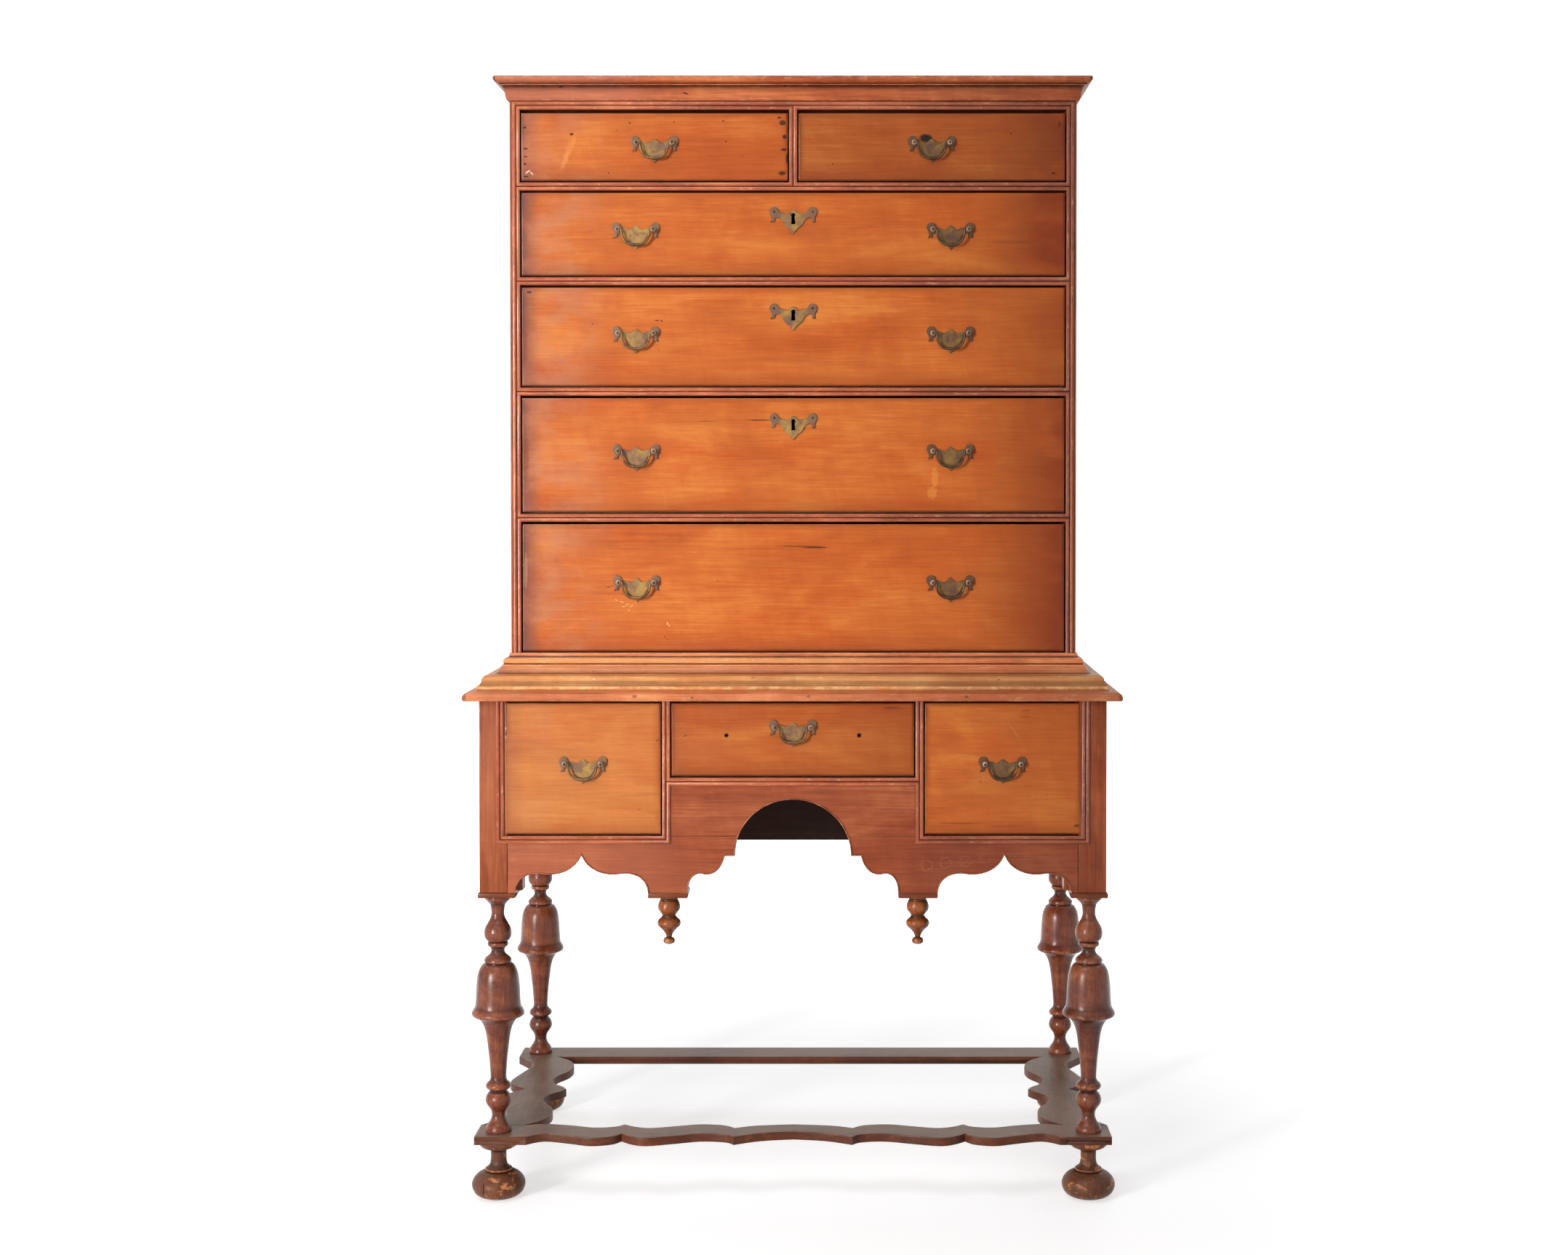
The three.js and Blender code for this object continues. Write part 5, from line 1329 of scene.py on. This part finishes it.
up = partial(mark, face=upper_face)
down = partial(mark, face=lower_face)
SOOT = (20, 10, 8)
STAIN = (120, 48, 26)
CUT = (92, 40, 22)
GILT = (232, 152, 72)
SCAR = (240, 190, 130)
CHIP = (244, 206, 150)
WAX = (232, 206, 180)
BARE = (236, 206, 172)
HAIR = (232, 190, 140)
FIGURE = (238, 164, 92)

LONG_MARKS = {
    1: [up(-30, 1500, 3, 1.4, power=0.6), up(330, 1452, 40, 3, power=0.25)],
    2: [up(-207, 1333, 4.5, 1), up(-200, 1332.5, 2, 1.8), up(-305, 1328, 2, 1), up(-298, 1327.5, 1.2, 0.8),
        up(-410, 1300, 7, 50, STAIN, 0.4, ragged=1.0), up(-401, 1376, 5, 2, power=0.9)],
    3: [up(-50, 1182, 27, 1.1), up(-130, 1180, 26, 0.8, power=0.5), up(22, 1176, 8, 0.8, power=0.5),
        up(-408, 1130, 7, 50, STAIN, 0.4, ragged=1.0), up(215, 1095, 6, 20, GILT, 0.35, ragged=1.4),
        up(211, 1072, 9, 12, GILT, 0.35, ragged=1.4)],
    4: [up(12, 990, 46, 1.1, power=0.75), up(33, 988, 26, 1.4), up(-408, 952, 4, 34, (216, 160, 124), 0.24),
        up(-282, 928, 5, 0.9, power=0.8), up(-276, 930, 1.6, 0.9, power=0.8),
        up(409, 930, 7, 60, (110, 44, 24), 0.4, ragged=1.0),
        *(up(x, z, wide, 0.8, SCAR, 0.65, slope, 1.3)
          for x, z, wide, slope in (
              (-270, 908, 3, -15), (-262, 905, 5, -25), (-254, 901, 4, 30), (-259, 898, 3, 5),
              (-247, 899, 4, 45), (-251, 893, 2.4, -40), (-240, 904, 2, 10))),
        up(-192, 872, 1.1, 3, CHIP, 0.8, 20, 1.2), up(-189, 869, 0.9, 2, CHIP, 0.7, -30, 1.2),
        up(-196, 852, 1.4, 1.2), up(-192, 848, 1.2, 1)],
}
short_left_marks = [
    up(-403, 1558, 5, 1.6, WAX, 0.8, 35, 1.2), up(-397, 1556, 4, 1.4, WAX, 0.8, -40, 1.2),
    *(up(x, z, wide, tall) for x, z, wide, tall in (
        (-405, 1551, 5, 1.4), (-407, 1625, 3.5, 2), (-406, 1593, 5, 1.6), (-407, 1570, 3, 2),
        (-406, 1581, 4, 1.2), (-16, 1632, 7, 5), (-13, 1611, 5, 4), (-14, 1592, 6, 3.2),
        (-17, 1556, 7, 4), (-21, 1640, 4, 2), (-9, 1578, 3, 10), (-336, 1615, 4, 2.6),
        (-248, 1632, 1.8, 1.8), (-181, 1633, 1.5, 1.5), (-106, 1635, 2.2, 1.4),
        (-102, 1604, 2.4, 1.4), (-280, 1556, 1.6, 1.2))),
    up(-339, 1594, 6, 26, FIGURE, 0.22, -25, 1.6), up(-346, 1575, 5, 18, FIGURE, 0.2, -25, 1.6),
]
short_right_marks = [
    up(201, 1609, 13, 8, SOOT, 1.0), up(188, 1604, 5, 4, SOOT), up(395, 1556, 4, 2),
    up(330, 1616, 1.5, 1.5), up(60, 1570, 2, 1.2), up(404, 1630, 3, 6, power=0.6),
]
lower_left_marks = [
    down(-432.6, 717, 0.9, 2.4, BARE, 0.9, ragged=1.4), down(-432.7, 711, 0.8, 1.6, BARE, 0.9, ragged=1.4),
    down(-432.6, 704, 0.9, 2, BARE, 0.9, ragged=1.4), down(-432, 710, 1.2, 3),
    down(-204, 699, 3.5, 1.2, slope=30), down(-215, 690, 60, 80, (176, 82, 36), 0.3, ragged=0.1),
]
lower_right_marks = [
    down(352, 744, 10, 1, CUT, 0.6, slope=3), down(350, 735, 11, 1, CUT, 0.6),
    down(334, 712, 22, 0.6, HAIR, 0.25, slope=-58), down(250, 574, 46, 1, power=0.5),
    down(320, 569, 40, 0.8, power=0.4), down(428, 570, 6, 3, power=0.7), down(283, 636, 2, 2, power=0.5),
]
lower_centre_marks = [
    down(-162, 706, 4, 1.4, power=0.6, slope=30), down(148, 748, 20, 2, power=0.5),
    down(-100, 706.4, 4.4, 4.4, SOOT, 0.95), down(100, 706.4, 4.4, 4.4, SOOT, 0.95),
]

# How strong the painted shade is at the right end of each long drawer.
RIGHT_END_SHADE = {1: 1.35, 2: 0.8, 3: 1.1, 4: 1.2}
for number, row in LONG_ROWS.items():
    holes = [keyhole(KEY_LEVELS[number], 0.4)] if number in KEY_LEVELS else []
    drawer(
        f"long_{number}", (-OPEN_HALF, OPEN_HALF), row, UPPER_DRAWER, 3.2, FRONT, 40 + number,
        (1.0, RIGHT_END_SHADE[number]), LONG_MARKS[number], holes)
side_row, centre_row = (SIDE_FLOOR, BASE_TOP[0]), (CENTRE_FLOOR, BASE_TOP[0])
old_holes = [round_hole(x, 706.4, 2.2) for x in (-100, 100)]
# Each row's ends are the strength of the painted reflection and dull edge at the left end, then of the
# painted shade at the right end.
for name, x, row, case, colours, seed, ends, marks, holes in (
    ("short_left", (-OPEN_HALF, -half_stile), SHORT_ROW, UPPER_DRAWER, FRONT, 51, (0.8, 0.2),
     short_left_marks, ()),
    ("short_right", (half_stile, OPEN_HALF), SHORT_ROW, UPPER_DRAWER, shade(FRONT, 0.87), 52, (0.0, 1.0),
     short_right_marks, ()),
    ("lower_left", (-POST_INNER, -DIVIDER[1]), side_row, LOWER_DRAWER, LOWER_FRONT, 53, (0.3, 0.0),
     lower_left_marks, ()),
    ("lower_right", (DIVIDER[1], POST_INNER), side_row, LOWER_DRAWER, FRONT, 54, (0.0, 0.3),
     lower_right_marks, ()),
    ("lower_centre", (-DIVIDER[0], DIVIDER[0]), centre_row, LOWER_DRAWER, shade(FRONT, 0.93), 55, (0.2, 0.4),
     lower_centre_marks, old_holes),
):
    drawer(name, x, row, case, 5, colours, seed, ends, marks, holes)

# Handles and keyhole plates

PLATE_HALF = [
    (0, 3.0), (2.6, 2.2), (5.4, -0.8), (8.6, -3.3), (12.5, -2.6), (17.6, -0.2), (20.6, -1.4),
    (22.2, 1.6), (24.6, 5.6), (28.2, 7.2), (32.4, 6.6), (35.6, 3.6), (36.6, -0.6), (35.4, -4.2),
    (33.4, -7.4), (32.6, -10.6), (33.2, -14.0), (34.6, -16.4), (31.3, -14.6), (28.8, -16.2),
    (28.2, -13.6), (27.4, -10.2), (25.2, -9.2), (22.0, -9.6), (18.6, -11.6), (16.6, -14.2),
    (14.8, -18.0), (12.6, -21.4), (9.8, -24.0), (6.6, -25.6), (5.2, -26.2), (4.7, -28.4),
    (2.2, -31.2), (0, -34.0),
]
LOBE_RISE = 3.5
PLATE = 1.2
KEY_NAILS = 29.3
BAIL_TIP = 1.1
STANDOFF = 8.0
BALL = 4.0
POSTS = 54.0


def plate_outline(x, z):
    whole = PLATE_HALF + mirrored(PLATE_HALF, -1)[-2:0:-1]
    return [(x + out, z + rise) for out, rise in whole]


def turned_forwards(profile, x, face, z, sides=20):
    """A small turned piece that stands out of a front face. The profile is (how far out, radius)."""
    points, faces, tones = lathe(profile, 0, 0, sides)
    return [(x + px, face - pz, z + py) for px, py, pz in points], faces, tones


def plate(shape, x, name, body, materials, replaces=()):
    """Makes a plate, whose points keep how far they lie to either side of its middle."""
    piece = shape.make(name, body, "brass", materials, replaces)
    aside = piece.data.attributes.new("aside", "FLOAT", "POINT")
    aside.data.foreach_set("value", [vertex.co.x - x * MM for vertex in piece.data.vertices])


def handle(name, body):
    low, high = (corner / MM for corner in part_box(f"bail_{name}"))
    x, z = (low.x + high.x) / 2, high.z - BAIL_TIP
    pivot_y = (low.y + high.y) / 2
    plate_front = pivot_y + STANDOFF - PLATE / 2
    # Right-hand handles take the darker brass copies, which are painted shade.
    hand = "left" if x < 60 else "right"
    outline = plate_outline(x, z + LOBE_RISE)
    shape = Shape().add(*board(outline, plate_front, plate_front + PLATE, 0.3, front))
    post = [(STANDOFF + BALL - 0.4, 0.4)]
    post += [(STANDOFF - PLATE / 2 + BALL * math.cos(a), BALL * math.sin(a))
             for a in (math.radians(d) for d in (22, 44, 66, 88, 110, 132, 148))]
    post += [(3.2, 1.8), (1.4, 1.9), (0.7, 2.6), (0.2, 2.9)]
    for sign in (-1, 1):
        shape.add(*turned_forwards(post, x + sign * POSTS / 2, plate_front, z), 1)
    plate(shape, x, f"backplate_{name}", body, [plate_brass[hand], post_brass], [f"plate_{name}"])
    half = [(24.9, 0.0, BAIL_TIP), (23.0, 0.0, BAIL_TIP), (21.5, -0.2, 1.15), (21.2, -3.2, 1.35),
            (20.7, -8.0, 1.5), (18.9, -13.6, 1.7), (15.2, -18.6, 2.0), (9.8, -22.2, 2.25), (3.6, -23.3, 2.35),
            (0, -23.4, 2.35)]
    half = spline(half, 3)
    line = [(x + px, pivot_y, z + pz, r) for px, pz, r in half]
    line += [(x - px, pivot_y, z + pz, r) for px, pz, r in half[-2::-1]]
    bail = f"bail_{name}"
    Shape().add(*tube(line)).make(f"swing_{name}", bail, "brass", bail_brass[hand], [bail])


bodies = frame["record"]["behaviour"]["bodies"]
for node_name in frame["nodes"]:
    if node_name.startswith("plate_"):
        home = next(body for body, members in bodies.items() if node_name in members)
        handle(node_name[len("plate_"):], home)

for number, level in KEY_LEVELS.items():
    plate_front = upper_face - PLATE
    outline = plate_outline(0, level)
    shape = Shape().add(*board(outline, plate_front, upper_face - 0.05, 0.3, front, [keyhole(level)]))
    nail = [(0.9, 0.2), (0.8, 1.0), (0.3, 1.7), (0.0, 1.8)]
    for sign in (-1, 1):
        shape.add(*turned_forwards(nail, sign * KEY_NAILS, plate_front, level, 14), 1)
    plate(shape, 0, f"keyhole_plate_{number}", f"drawer_long_{number}", [plate_brass["left"], post_brass])

# Floor, light and camera

FLOOR_REACH = 9
FLOOR_LEVEL = -0.0004
NEAR, FAR = 0.6, 2.4
GLOW_NEAR, GLOW_MORE = 0.6, 0.62

floor = bpy.data.meshes.new("floor")
corners = [(-1, -1), (1, -1), (1, 1), (-1, 1)]
floor.from_pydata([(x * FLOOR_REACH, y * FLOOR_REACH, FLOOR_LEVEL) for x, y in corners], [], [(0, 1, 2, 3)])
ground = bpy.data.objects.new("floor", floor)
scene.collection.objects.link(ground)
material, nodes, shader, output = new_material("floor_white")
nodes.fill(shader, {"Base Color": (0.8, 0.8, 0.8, 1), "Roughness": 0.6, "Specular IOR Level": 0.2})
away = nodes.length(nodes.add("TexCoord").outputs["Object"])
glow_level = nodes.total([(nodes.ramp(away, NEAR, FAR), GLOW_MORE)], GLOW_NEAR)
strength = nodes.times(nodes.seen(), glow_level)
glow = nodes.add("Emission", {"Color": (1, 1, 1, 1), "Strength": strength})
both = nodes.add("AddShader", {0: shader.outputs[0], 1: glow.outputs[0]})
nodes.fill(output, {"Surface": both.outputs[0]})
floor.materials.append(material)

world = bpy.data.worlds.new("studio")
scene.world = world
world.use_nodes = True
nodes = Nodes(world.node_tree)
direction = nodes.axes(nodes.add("TexCoord").outputs["Generated"])[1]
dim = nodes.mix(nodes.ramp(direction, -0.2, 0.6), (0.1, 0.1, 0.11, 1), (0.6, 0.6, 0.6, 1))
shown = nodes.mix(nodes.seen(), dim, (1, 1, 1, 1))
background = nodes.add("Background", {"Color": shown, "Strength": 1.0})
nodes.add("OutputWorld", {"Surface": background.outputs[0]})


def softbox(name, place, aim, size, power, spread):
    lamp = bpy.data.lights.new(name, "AREA")
    lamp.spread = math.radians(spread)
    lamp.shape = "RECTANGLE"
    lamp.size, lamp.size_y = size
    lamp.energy = power
    holder = bpy.data.objects.new(name, lamp)
    holder.location = place
    holder.rotation_euler = (Vector(aim) - Vector(place)).to_track_quat("-Z", "Y").to_euler()
    scene.collection.objects.link(holder)


softbox("key_left", (-2.6, -3.4, 1.5), (-0.28, -0.2, 0.94), (0.5, 2.2), 11.4, 36)
softbox("haze_left", (-1.5, -3.2, 1.3), (-0.4, -0.2, 1.0), (0.7, 2.0), 5, 140)
softbox("top", (-0.8, -1.6, 3.1), (-0.2, 0, 0.6), (1.6, 1.2), 15, 150)

lens = bpy.data.cameras.new("camera")
lens.lens = 51.23
lens.sensor_width = 36
lens.shift_x = -0.0427
lens.shift_y = -0.0652
lens.clip_start = 0.05
camera = bpy.data.objects.new("camera", lens)
camera.location = (0.0876, -3.605, 1.1021)
camera.rotation_euler = (math.radians(90 - 1.35), 0, 0)
scene.collection.objects.link(camera)
scene.camera = camera

bpy.context.view_layer.update()
